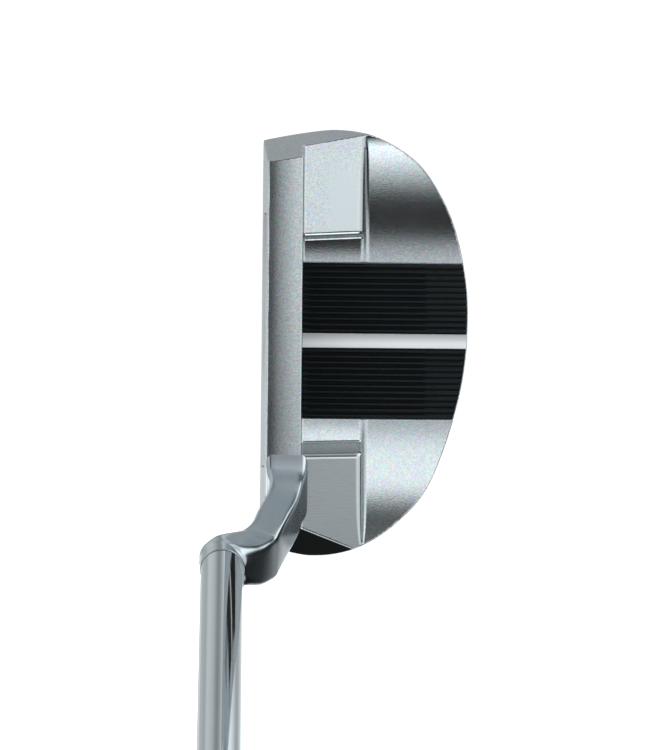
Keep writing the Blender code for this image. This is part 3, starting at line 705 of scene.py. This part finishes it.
def rear_body(x, y, z):
    """Blocks, cavity floor and flange: everything behind the topline."""
    fall = np.where(y > 0.0, TOE_BLOCK_FALL, HEEL_BLOCK_FALL)
    top = z - BLOCK_TOP_Z + fall * (np.abs(y) - BLOCK_INNER_Y)
    flange_rise = curled(y, FLANGE_Z, FLANGE_FLAT, FLANGE_RADIUS)
    room = np.maximum(BLOCK_TOP_Z - flange_rise[0], 0.6)
    flange = both(above(z, flange_rise), STEP_X - x, at_most(STEP_FOOT_RADIUS, room))
    body = cut(top, flange, at_most(STEP_BROW_RADIUS, room))
    return cut(body, cavity_space(x, y, z), BLOCK_EDGE_RADIUS)


def face_pocket(x, y, z):
    """The pocket for the face insert: a rounded plate let into the face."""
    out = (face_x(z) - x) * math.cos(LOFT)
    up = np.abs(z - INSERT_Z) - (INSERT_HEIGHT / 2.0 - INSERT_CORNER)
    across = np.abs(y) - (INSERT_LENGTH / 2.0 - INSERT_CORNER)
    corner = np.hypot(np.maximum(up, 0.0), np.maximum(across, 0.0))
    plate = corner + np.minimum(np.maximum(up, across), 0.0) - INSERT_CORNER
    return both(plate, -out - (INSERT_DEPTH + GLUE + GAP), POCKET_FLOOR_RADIUS)


def weight_seats(x, y, z):
    """Counterbores in the sole for the weights' heads, and bores for their stems."""
    away = np.hypot(x - WEIGHT_X, np.abs(y) - WEIGHT_Y)
    seat = both(away - WEIGHT_RADIUS - SEAT_ROOM, z - SEAT_DEPTH)
    bore = both(away - WEIGHT_STEM_RADIUS - SEAT_ROOM, z - WEIGHT_DEPTH - WEIGHT_RECESS)
    return np.minimum(seat, bore)


def topline_fall(y):
    """How far the topline has dropped at y: level at the heel, then eased into its fall
    towards the toe."""
    ease = np.clip((y - TOPLINE_FALL_Y) / TOPLINE_EASE + 0.5, 0.0, 1.0)
    past = np.maximum(y - TOPLINE_FALL_Y - TOPLINE_EASE / 2.0, 0.0)
    return TOPLINE_FALL * (past + ease * ease * TOPLINE_EASE / 2.0)


def head_field(x, y, z):
    """Signed distance to the head's surface, negative inside."""
    face = (face_x(z) - x) * math.cos(LOFT)
    above_centre = z - (TOPLINE_Z - CROWN_RADIUS - topline_fall(y))
    crown = np.hypot(np.minimum(x - CROWN_X, 0.0), above_centre) - CROWN_RADIUS
    topline = both(crown, x - TOPLINE_REAR_X, TOPLINE_EDGE_RADIUS)
    upper = either(topline, rear_body(x, y, z), TOPLINE_FOOT_RADIUS)
    upper = both(upper, end_plane(x, y, z, 1.0, *TOE_END), EDGE_RADIUS)
    upper = both(upper, end_plane(x, y, z, -1.0, *HEEL_END), EDGE_RADIUS)
    shell = both(sole_edge(x, y, z), both(face, -z, LEADING_EDGE_RADIUS))
    body = both(shell, upper, EDGE_RADIUS)
    body = both(body, both(face, np.minimum(crown, CROWN_X - x), FACE_EDGE_RADIUS))
    bed = both(both(np.abs(y) - INLAY_HALF, INLAY_BED_Z - z), TOPLINE_REAR_X - x)
    body = cut(body, bed, BED_EDGE_RADIUS)
    body = cut(body, face_pocket(x, y, z), POCKET_EDGE_RADIUS)
    return cut(body, weight_seats(x, y, z), SEAT_EDGE_RADIUS)


# The corners of a grid cell, and its edges as pairs of them.
CORNERS = np.array([(i, j, k) for i in (0, 1) for j in (0, 1) for k in (0, 1)])
EDGES = [
    (a, b)
    for a in range(8)
    for b in range(a + 1, 8)
    if np.abs(CORNERS[a] - CORNERS[b]).sum() == 1
]


def cell_vertices(values, axes, cells):
    """For each crossed cell, the mean of the points where its edges cross zero."""
    corner = np.stack([values[tuple((cells + shift).T)] for shift in CORNERS], 1)
    total = np.zeros((len(cells), 3))
    count = np.zeros(len(cells))
    for a, b in EDGES:
        va = corner[:, a]
        vb = corner[:, b]
        crossed = (va < 0.0) != (vb < 0.0)
        t = np.where(crossed, va / np.where(crossed, va - vb, 1.0), 0.0)
        spot = CORNERS[a] + t[:, None] * (CORNERS[b] - CORNERS[a])
        total += np.where(crossed[:, None], spot, 0.0)
        count += crossed
    local = total / count[:, None]
    spots = []
    for k, axis in enumerate(axes):
        low = axis[cells[:, k]]
        spots.append(low + local[:, k] * (axis[cells[:, k] + 1] - low))
    return np.stack(spots, 1)


def surface_nets(values, axes):
    """Points and quads of the zero level of values on a box grid."""
    inside = values < 0.0
    cell_shape = tuple(n - 1 for n in values.shape)
    windows = [tuple(slice(s, s + n) for s, n in zip(shift, cell_shape)) for shift in CORNERS]
    hits = sum(inside[w].astype(np.int8) for w in windows)
    cells = np.argwhere((hits > 0) & (hits < 8))
    index = np.full(cell_shape, -1, np.int32)
    index[tuple(cells.T)] = np.arange(len(cells))
    quads = []
    for k in range(3):
        u = (k + 1) % 3
        v = (k + 2) % 3
        low = [slice(None)] * 3
        high = [slice(None)] * 3
        low[k] = slice(None, -1)
        high[k] = slice(1, None)
        a = inside[tuple(low)]
        spots = np.argwhere(a != inside[tuple(high)])
        keep = (spots[:, u] > 0) & (spots[:, v] > 0)
        keep &= (spots[:, u] < cell_shape[u]) & (spots[:, v] < cell_shape[v])
        spots = spots[keep]
        step_u = np.eye(3, dtype=int)[u]
        step_v = np.eye(3, dtype=int)[v]
        ring = [spots - step_u - step_v, spots - step_v, spots, spots - step_u]
        quad = np.stack([index[tuple(r.T)] for r in ring], 1)
        backward = ~a[tuple(spots.T)]
        quad[backward] = quad[backward][:, ::-1]
        quads.append(quad)
    return cell_vertices(values, axes, cells), np.vstack(quads)


def gradient(field, points, step=0.02):
    """The slope of a field at points, along x, y and z."""
    slopes = []
    for shift in np.eye(3) * step:
        rise = field(*(points + shift).T) - field(*(points - shift).T)
        slopes.append(rise / (2.0 * step))
    return np.stack(slopes, 1)


def field_mesh(name, field, axes):
    """The zero level of a field as a mesh: fine quads where it curves and large flat
    faces elsewhere, shaded by the field's own normals."""
    grid = np.meshgrid(*axes, indexing="ij", sparse=True)
    values = np.asarray(field(*grid), np.float32)
    points, quads = surface_nets(values, axes)
    for _ in range(3):
        slope = gradient(field, points)
        size = np.maximum((slope * slope).sum(1), 0.2)
        points -= np.clip(field(*points.T) / size, -0.2, 0.2)[:, None] * slope
    mesh = bpy.data.meshes.new(name)
    mesh.from_pydata((points * MM).tolist(), [], quads.tolist())
    bm = bmesh.new()
    bm.from_mesh(mesh)
    flat = math.radians(0.05)
    bmesh.ops.dissolve_limit(bm, angle_limit=flat, verts=bm.verts, edges=bm.edges)
    bmesh.ops.triangulate(bm, faces=[f for f in bm.faces if len(f.verts) > 4])
    bm.to_mesh(mesh)
    bm.free()
    mesh.shade_smooth()
    kept = np.empty(len(mesh.vertices) * 3, np.float32)
    mesh.vertices.foreach_get("co", kept)
    slope = gradient(field, kept.reshape(-1, 3).astype(float) / MM)
    slope /= np.linalg.norm(slope, axis=1)[:, None]
    mesh.normals_split_custom_set_from_vertices(slope.tolist())
    return mesh


def build_head():
    low, high = (np.array(corner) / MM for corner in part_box("head_body"))
    axes = [np.arange(a - 1.0, b + 1.0, HEAD_STEP) for a, b in zip(low, high)]
    mesh = field_mesh("putter_head", head_field, axes)
    add_piece("putter_head", mesh, STEEL, "satin_steel", "head_body")


# -------------------------------------------------------------------- inlays
def rear_edge_x(y):
    """Where the head's rear outline stands at each y, drawn in a little."""
    rear = OUTLINE[OUTLINE[:, 0] > 0.0]
    return np.interp(y, rear[:, 1], rear[:, 0]) - INLAY_SETBACK


def bar_along_x(name, ys, tops):
    """A closed plate from the topline to the rear outline, with a height for each y."""
    bottom = INLAY_BED_Z + GLUE + GAP
    front = TOPLINE_REAR_X + GAP
    rings = []
    for y, top in zip(ys, tops):
        rear = float(rear_edge_x(y))
        section = [(front, bottom), (rear, bottom)]
        for a in np.linspace(0.0, math.pi / 2.0, 4):
            x = rear - INLAY_EDGE * (1.0 - math.cos(a))
            section.append((x, top - INLAY_EDGE * (1.0 - math.sin(a))))
        section += [(front + 0.1, top), (front, top - 0.1)]
        rings.append([(x, y, z) for x, z in section])
    return loft(name, rings, 40.0)


def rib_heights(low, high):
    """Heights across one inlay: flat grooves and round-backed ribs."""
    groove = INLAY_TOP_Z - RIB_DEPTH
    middle = (low + high) / 2.0
    ys = [low]
    tops = [groove]
    for i in range(RIB_COUNT):
        centre = middle + RIB_PITCH * (i - (RIB_COUNT - 1) / 2.0)
        for t in np.linspace(-1.0, 1.0, 13):
            ys.append(centre + RIB_HALF * t)
            tops.append(groove + RIB_DEPTH * (1.0 - abs(t) ** 3.2))
    return ys + [high], tops + [groove]


def build_inlays():
    inner = SIGHT_HALF + GAP
    outer = INLAY_HALF - GAP
    for end, low, high in (("toe", inner, outer), ("heel", -outer, -inner)):
        ys, tops = rib_heights(low, high)
        mesh = bar_along_x(f"{end}_ribs", ys, tops)
        ribs = add_piece(f"{end}_ribs", mesh, BLACK, "black_anodised", f"{end}_ribbed_inlay")
        ribs.visible_glossy = False
    ys = np.linspace(-SIGHT_HALF, SIGHT_HALF, 25)
    crown = 0.16 * (np.abs(ys) / SIGHT_HALF) ** 4
    mesh = bar_along_x("sight_line", ys, INLAY_TOP_Z - crown)
    add_piece("sight_line", mesh, WHITE, "white_paint", "sight_line_bar")


# ------------------------------------------------------- face insert, weights
def build_face_insert():
    """A plate with fine level grooves milled across it and a softened rim."""
    normal = np.array((-math.cos(LOFT), 0.0, math.sin(LOFT)))
    across = np.array((0.0, 1.0, 0.0))
    up = np.cross(normal, across)
    placed = (np.array((face_x(INSERT_Z), 0.0, INSERT_Z)), across, up, normal)
    half_l = INSERT_LENGTH / 2.0 - INSERT_FIT
    half_h = INSERT_HEIGHT / 2.0 - INSERT_FIT
    corner = INSERT_CORNER - INSERT_FIT
    rim = INSERT_RIM
    rings = []
    for v in np.linspace(-half_h, half_h, 321):
        beyond = max(abs(v) - (half_h - corner), 0.0)
        u = half_l - corner + math.sqrt(max(corner**2 - beyond**2, 0.01))
        inset = half_h - abs(v)
        top = -rim * (1.0 - math.sqrt(1.0 - (1.0 - min(inset / rim, 1.0)) ** 2))
        if inset > MILLED_MARGIN:
            wave = max(0.0, math.cos(2.0 * math.pi * v / MILLED_PITCH))
            top -= MILLED_DEPTH * wave**2
        section = [(u, -INSERT_DEPTH), (u, -rim), (u - 0.05, -0.05), (u - rim, top)]
        ring = [(s, v, d) for s, d in section]
        rings.append(ring + [(-s, v, d) for s, d in reversed(section)])
    mesh = loft("milled_insert", [in_frame(placed, ring) for ring in rings], 30.0)
    add_piece("milled_insert", mesh, INSERT, "milled_aluminium", "face_insert")


def hex_ring(flat_radius, count):
    """Points round a hexagon at the same angles as a circle's points."""
    radius = flat_radius / np.cos((full_turn(count) % (math.pi / 3.0)) - math.pi / 6.0)
    return unit_circle(count) * radius[:, None]


def build_weight(end, y):
    """A screw-in weight, seen on the sole: a chamfered head with a hex socket."""
    count = 96
    stem = WEIGHT_STEM_RADIUS
    rim = WEIGHT_RADIUS
    outer = [
        (stem - 0.4, WEIGHT_DEPTH - 1.4),
        (stem, WEIGHT_DEPTH - 1.8),
        (stem, 2.0),
        (rim - 0.2, 2.0),
        (rim, 1.8),
        (rim, 0.35),
        (rim - 0.1, 0.1),
        (rim - 0.35, 0.0),
        (rim - 1.2, 0.0),
        (rim - 1.35, 0.12),
        (rim - 1.6, 0.12),
        (rim - 1.75, 0.0),
        (3.2, 0.0),
    ]
    rings = [unit_circle(count) * r + UP * z for r, z in outer]
    for flat, z in ((KEY_FLAT + 0.2, 0.35), (KEY_FLAT, 0.5), (KEY_FLAT, 2.9)):
        rings.append(hex_ring(flat, count) + UP * z)
    spot = np.array((WEIGHT_X, y, WEIGHT_RECESS))
    mesh = loft(f"{end}_weight_screw", [ring + spot for ring in rings], 35.0)
    add_piece(f"{end}_weight_screw", mesh, WEIGHT, "weight_steel", f"{end}_sole_weight")


# ---------------------------------------------------------------------- neck
def hosel_station():
    """The round rim, square to the shaft's axis, as a station."""
    across = np.cross(SHAFT_FRONT, SHAFT_AXIS) * HOSEL_RADIUS
    reach = SHAFT_FRONT * HOSEL_RADIUS
    return (HOSEL - across + reach, HOSEL + across + reach, HOSEL - reach, 1.0)


def neck_rows():
    """Smooth rows through the stations: distance, two corners, golfer side, roundness."""
    stations = (*NECK_STATIONS, hosel_station())
    rows = np.array([np.hstack(station) for station in stations])
    run = np.linalg.norm(np.diff(rows[:, :9], axis=0), axis=1) / math.sqrt(3.0)
    distance = np.concatenate(((0.0,), np.cumsum(run)))
    return smooth_rows(np.column_stack((distance, rows)), 8)


def neck_ring(row):
    """One section of the neck: a rounded rectangle, or an oval when fully round."""
    left = row[1:4]
    right = row[4:7]
    golfer = row[7:10]
    toe = (left + right) / 2.0
    section = rounded_section(1.0, 1.0, min(row[10], 1.0))
    across = section[:, :1] * (right - left)
    return (toe + golfer + across + section[:, 1:] * (toe - golfer)) / 2.0


def build_neck():
    """The neck from inside the topline to the hosel's rim, with the spud past it."""
    rings = [neck_ring(row) for row in neck_rows()]
    foot = rings[0].copy()
    foot[:, 2] = BLOCK_TOP_Z - 1.0
    turn = rings[-1] - HOSEL
    turn /= np.linalg.norm(turn, axis=1)[:, None]
    tail = [
        (HOSEL_RADIUS, -0.04),
        (HOSEL_RADIUS - 0.08, 0.06),
        (SPUD_RADIUS, 0.06),
        (SPUD_RADIUS, 0.4),
        (SPUD_RADIUS - 0.05, SPUD_LENGTH - 0.6),
        (SPUD_RADIUS - 0.6, SPUD_LENGTH),
    ]
    rings = [foot] + rings[:-1] + [HOSEL + turn * r + SHAFT_AXIS * z for r, z in tail]
    mesh = loft("flow_neck", rings, 38.0)
    add_piece("flow_neck", mesh, NECK_STEEL, "polished_neck_steel", "hosel_neck")


# ------------------------------------------------------------ shaft and grip
def build_shaft():
    """The stepped tube, with each step eased as it is when it is drawn."""
    top = SHAFT_BUTT - CAP_LENGTH - 0.3
    tip = SHAFT_TIP_RADIUS
    outer = [(tip - 0.12, 0.3), (tip, 0.45)]
    for i in range(STEP_COUNT):
        z = FIRST_STEP + STEP_LENGTH * i
        for t in np.linspace(0.0, 1.0, 7):
            outer.append((tip + STEP_RISE * (i + t * t * (3.0 - 2.0 * t)), z + 1.2 * t))
    outer.append((BUTT_RADIUS, top))
    last_step = FIRST_STEP + STEP_LENGTH * STEP_COUNT
    bore = [
        (BUTT_RADIUS - SHAFT_WALL, top),
        (BUTT_RADIUS - SHAFT_WALL, last_step),
        (tip - SHAFT_WALL, FIRST_STEP),
        (tip - SHAFT_WALL, 0.3),
    ]
    circle = unit_circle(128)
    placed = axis_frame(0.0)
    rings = [in_frame(placed, circle * r + UP * z) for r, z in outer + bore]
    mesh = loft("stepped_shaft", rings, 30.0, hollow=True)
    add_piece("stepped_shaft", mesh, CHROME, "chrome_shaft", "shaft")


def grip_section(half_width, back, count=120):
    """Points x, y round a grip section: flat in front at +y, round behind."""
    turn = full_turn(count)
    rise = np.sin(turn)
    flat = GRIP_FLAT * min(half_width / 10.5, 1.0)
    shoulder = 1.0 - (1.0 - np.clip(rise * 1.25, 0.0, 1.0)) ** 2.2
    y = np.where(rise > 0.0, flat * shoulder, back * rise)
    return np.stack((half_width * np.cos(turn), y), 1)


def grip_dimples(turn, z):
    """How deep the pattern is at one height: diamonds behind, bars across the flat."""
    worked = np.clip(min(z - GRIP_PLAIN, GRIP_LENGTH - GRIP_PLAIN - z) / 3.0, 0.0, 1.0)
    behind = np.clip(1.0 - np.sin(turn) * 3.0, 0.0, 1.0)
    front = np.clip((np.sin(turn) - 0.75) * 8.0, 0.0, 1.0)
    rows = math.cos(2.0 * math.pi * z / DIAMOND_PITCH)
    diamonds = np.maximum(np.cos(turn * DIAMOND_COUNT) * rows, 0.0)
    bars = max(math.cos(2.0 * math.pi * z / BAR_PITCH), 0.0)
    return DIMPLE_DEPTH * worked * (behind * diamonds + front * bars)


def build_grip():
    """A pistol grip: moulded diamonds behind and at the sides, bars on the flat."""
    count = 180
    turn = full_turn(count)
    bore = unit_circle(count) * (BUTT_RADIUS + GRIP_BORE_ROOM)
    eased = smooth_rows(GRIP_STATIONS, 24)
    placed = axis_frame(SHAFT_BUTT - CAP_LENGTH - GRIP_LENGTH)
    outer = []
    inner = []
    for z in np.arange(0.0, GRIP_LENGTH + 0.5, 1.0):
        half_width = GRIP_SKIN * np.interp(z, eased[:, 0], eased[:, 1])
        back = GRIP_SKIN * np.interp(z, eased[:, 0], eased[:, 2])
        section = grip_section(half_width, back, count)
        size = np.hypot(section[:, 0], section[:, 1])
        section = section * (1.0 - grip_dimples(turn, z) / size)[:, None]
        outer.append(in_frame(placed, np.insert(section, 2, z, axis=1)))
        inner.append(in_frame(placed, bore + UP * z))
    mesh = loft("pistol_grip", outer + inner[::-1], 50.0, hollow=True)
    add_piece("pistol_grip", mesh, RUBBER, "black_rubber", "grip")


def build_grip_cap():
    """The butt cap: a low dome with a lip, a moulded groove and a vent hole."""
    half_width, back = GRIP_STATIONS[-1][1:]
    count = 120
    placed = axis_frame(SHAFT_BUTT - CAP_LENGTH)
    lip = [(0.992, 0.3), (1.0, 0.35), (1.0, 1.4), (0.985, 1.5), (0.985, 1.8), (0.995, 1.9)]
    dome = []
    for a in np.linspace(0.0, math.pi / 2.0, 9):
        dome.append((0.67 + 0.32 * math.cos(a), CAP_DOME_Z + CAP_DOME_RISE * math.sin(a)))
    rings = []
    for scale, z in lip + dome:
        size = GRIP_SKIN * scale
        section = grip_section(half_width * size, back * size, count)
        rings.append(np.insert(section, 2, z, axis=1))
    top = CAP_DOME_Z + CAP_DOME_RISE
    low = top - CAP_GROOVE_DEPTH
    groove = [(5.2, top), (4.9, low), (4.2, low), (3.9, top)]
    vent = [(VENT_RADIUS + 0.3, top), (VENT_RADIUS, low), (VENT_RADIUS, 0.3)]
    for radius, z in groove + vent:
        rings.append(unit_circle(count) * radius + UP * z)
    mesh = loft("vented_cap", [in_frame(placed, r) for r in rings], 40.0, hollow=True)
    add_piece("vented_cap", mesh, RUBBER, "black_rubber", "grip_end_cap")


# ------------------------------------------------- nodes kept from the frame
def finish_node(name, finish):
    """Give a CAD node that is kept as it is its material."""
    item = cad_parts[name]
    for slot in item.material_slots:
        slot.material = finish
    if not item.material_slots:
        item.data.materials.append(finish)


def finish_hidden_nodes():
    finish_node("face_insert_adhesive", EPOXY)
    finish_node("toe_inlay_adhesive", EPOXY)
    finish_node("heel_inlay_adhesive", EPOXY)
    finish_node("shaft_epoxy_film", EPOXY)
    finish_node("toe_weight_oring", RUBBER)
    finish_node("heel_weight_oring", RUBBER)
    finish_node("grip_tape", TAPE)


# -------------------------------------------------------------------- studio
def ramp(tree, angle, stops):
    """Brightness by angle, through (degrees, level) stops in rising order."""
    first = stops[0][0]
    last = stops[-1][0]
    share = node(
        tree,
        "ShaderNodeMapRange",
        {"Value": angle, "From Min": math.radians(first), "From Max": math.radians(last)},
    )
    made = node(tree, "ShaderNodeValToRGB", {0: share.outputs["Result"]})
    marks = made.color_ramp.elements
    marks[0].color = (*[stops[0][1]] * 3, 1.0)
    marks[1].color = (*[stops[-1][1]] * 3, 1.0)
    for degrees, level in stops[1:-1]:
        mark = marks.new((degrees - first) / (last - first))
        mark.color = (level, level, level, 1.0)
    return made.outputs["Color"]


# What polished metal sees, as (degrees, level) stops. First by the turn from straight up
# across from the golfer (-) to the toe (+), right round to straight down.
SKY_TO_TOE = (
    (-180.0, 0.95), (-160.0, 0.5), (-140.0, 0.01), (-100.0, 0.01), (-85.0, 0.4),
    (-65.0, 1.2), (-48.0, 1.15), (-43.0, 0.92), (-38.0, 0.64), (-33.0, 0.36),
    (-29.5, 0.22), (-26.5, 0.02), (-10.0, 0.0), (-7.0, 0.1), (-5.5, 0.35),
    (-2.0, 0.38), (2.0, 0.41), (6.0, 0.62), (8.5, 0.76), (26.0, 0.86),
    (29.0, 0.66), (32.0, 0.25), (36.0, 0.06), (50.0, 0.1), (80.0, 0.4),
    (143.0, 0.55), (155.0, 0.5), (160.0, 0.36), (168.0, 0.38), (175.0, 0.45),
    (180.0, 0.95),
)
# How much of that shows from the target (-) to the rear (+), above the horizon.
FLAGS = (
    (-90.0, 0.0), (-36.0, 0.0), (-33.0, 0.06), (-29.0, 0.04), (-26.0, 0.03),
    (-23.0, 0.15), (-20.0, 0.34), (-16.5, 0.47), (-11.0, 0.62), (-7.0, 0.72),
    (-4.0, 0.8), (-1.0, 0.92), (1.0, 1.0), (12.0, 0.98), (25.0, 0.6),
    (40.0, 0.0), (90.0, 0.0),
)
# The same below the horizon.
BELOW = (
    (-90.0, 0.5), (-20.0, 0.85), (-13.0, 0.62), (-9.8, 0.46), (-6.7, 0.36),
    (-3.4, 0.42), (0.0, 0.6), (3.4, 0.85), (6.7, 1.1), (10.0, 1.3),
    (18.0, 1.2), (24.0, 0.5), (30.0, 0.22), (40.0, 0.03), (90.0, 0.02),
)
# What the target and rear sides of the room add.
SIDES = (
    (-90.0, 0.55), (-60.0, 0.65), (-42.0, 0.55), (-36.0, 0.35), (-31.0, 0.02),
    (-26.0, 0.0), (10.0, 0.0), (25.0, 0.3), (40.0, 0.6), (55.0, 0.55),
    (70.0, 0.5), (90.0, 0.45),
)
# A light at the rear on the toe side.
CORNER_LIGHT = (0.9, 0.9, 0.9, 1.0)
# What metal sees by way of other metal, across from the golfer to the toe.
SECOND_LOOK = (
    (-180.0, 0.36), (-45.0, 0.36), (-35.0, 0.03), (-6.0, 0.03), (2.0, 0.36),
    (180.0, 0.36),
)
SKY_STRENGTH = 1.6
ROOM_STRENGTH = 1.45
COOL_TINT = (0.95, 1.0, 1.02, 1.0)

# In metres, apart from the lens and its sensor in millimetres.
FLOOR_SIZE = 12.0
CAMERA_SPOT = (-0.0308, -0.00436, 1.565)
CAMERA_LOOK = (0.01342, -0.00259, -1.0)
CAMERA_ROLL = math.radians(0.55)
LENS_LENGTH = 314.64
SENSOR_WIDTH = 36.0


def backdrop(tree, colour, strength):
    made = node(tree, "ShaderNodeBackground", {"Color": colour, "Strength": strength})
    return made.outputs[0]


def build_studio():
    """A white room. Metal sees it as soft boxes with dark flags between them."""
    world = bpy.data.worlds.new("studio")
    bpy.context.scene.world = world
    world.use_nodes = True
    tree = world.node_tree
    tree.nodes.clear()
    black = (0.0, 0.0, 0.0, 1.0)
    way = parts(tree, node(tree, "ShaderNodeTexCoord").outputs["Generated"])
    to_toe = maths(tree, "ARCTAN2", way["Y"], way["Z"])
    to_rear = maths(tree, "ARCSINE", way["X"])
    overhead = remap(tree, way["Z"], -0.10, 0.15)
    flags = mix_colour(tree, overhead, ramp(tree, to_rear, BELOW), ramp(tree, to_rear, FLAGS))
    sides = mix_colour(tree, overhead, black, ramp(tree, to_rear, SIDES))
    sides = mix_colour(tree, remap(tree, way["Y"], -0.35, -0.1), black, sides)
    toward_toe = remap(tree, way["Y"], 0.40, 0.60)
    corner = maths(tree, "MULTIPLY", toward_toe, remap(tree, way["X"], 0.35, 0.6))
    sides = mix_colour(tree, corner, sides, CORNER_LIGHT)
    sky = mix_colour(tree, 1.0, ramp(tree, to_toe, SKY_TO_TOE), flags, "MULTIPLY")
    sky = mix_colour(tree, 1.0, sky, sides, "ADD")
    path = node(tree, "ShaderNodeLightPath").outputs
    again = maths(tree, "GREATER_THAN", path["Glossy Depth"], 1.5)
    sky = mix_colour(tree, again, sky, ramp(tree, to_toe, SECOND_LOOK))
    cool = mix_colour(tree, 1.0, sky, COOL_TINT, "MULTIPLY")
    studio = backdrop(tree, cool, SKY_STRENGTH)
    room = backdrop(tree, (1.0, 1.0, 1.0, 1.0), ROOM_STRENGTH)
    seen = node(tree, "ShaderNodeMixShader", {0: path["Is Glossy Ray"], 1: room, 2: studio})
    node(tree, "ShaderNodeOutputWorld", {"Surface": seen.outputs[0]})


def build_floor():
    """A plain pale floor that the metal doesn't reflect."""
    mesh = bpy.data.meshes.new("floor")
    half = FLOOR_SIZE / 2.0
    corners = [(-half, -half, 0.0), (half, -half, 0.0), (half, half, 0.0), (-half, half, 0.0)]
    mesh.from_pydata(corners, [], [(0, 1, 2, 3)])
    floor = bpy.data.objects.new("floor", mesh)
    bpy.context.scene.collection.objects.link(floor)
    made, _, shader = new_material("pale_floor", 0.0, (0.93, 0.93, 0.93), 0.8)
    shader.inputs["Emission Color"].default_value = (1.0, 1.0, 1.0, 1.0)
    shader.inputs["Emission Strength"].default_value = 0.25
    mesh.materials.append(made)
    floor.visible_glossy = False


def build_camera():
    """High above the front of the head, looking down at it with a long lens."""
    lens = bpy.data.cameras.new("camera")
    lens.sensor_width = SENSOR_WIDTH
    lens.lens = LENS_LENGTH
    lens.clip_start = 0.05
    lens.clip_end = 50.0
    camera = bpy.data.objects.new("camera", lens)
    bpy.context.scene.collection.objects.link(camera)
    look = Vector(CAMERA_LOOK).normalized()
    aim = Vector((0.0, 0.0, -1.0)).rotation_difference(look).to_matrix().to_4x4()
    roll = Matrix.Rotation(CAMERA_ROLL, 4, "Z")
    camera.matrix_world = Matrix.Translation(CAMERA_SPOT) @ roll @ aim
    bpy.context.scene.camera = camera
    bpy.context.scene.view_settings.view_transform = "Standard"


build_head()
build_inlays()
build_face_insert()
build_weight("toe", WEIGHT_Y)
build_weight("heel", -WEIGHT_Y)
build_neck()
build_shaft()
build_grip()
build_grip_cap()
finish_hidden_nodes()
build_studio()
build_floor()
build_camera()
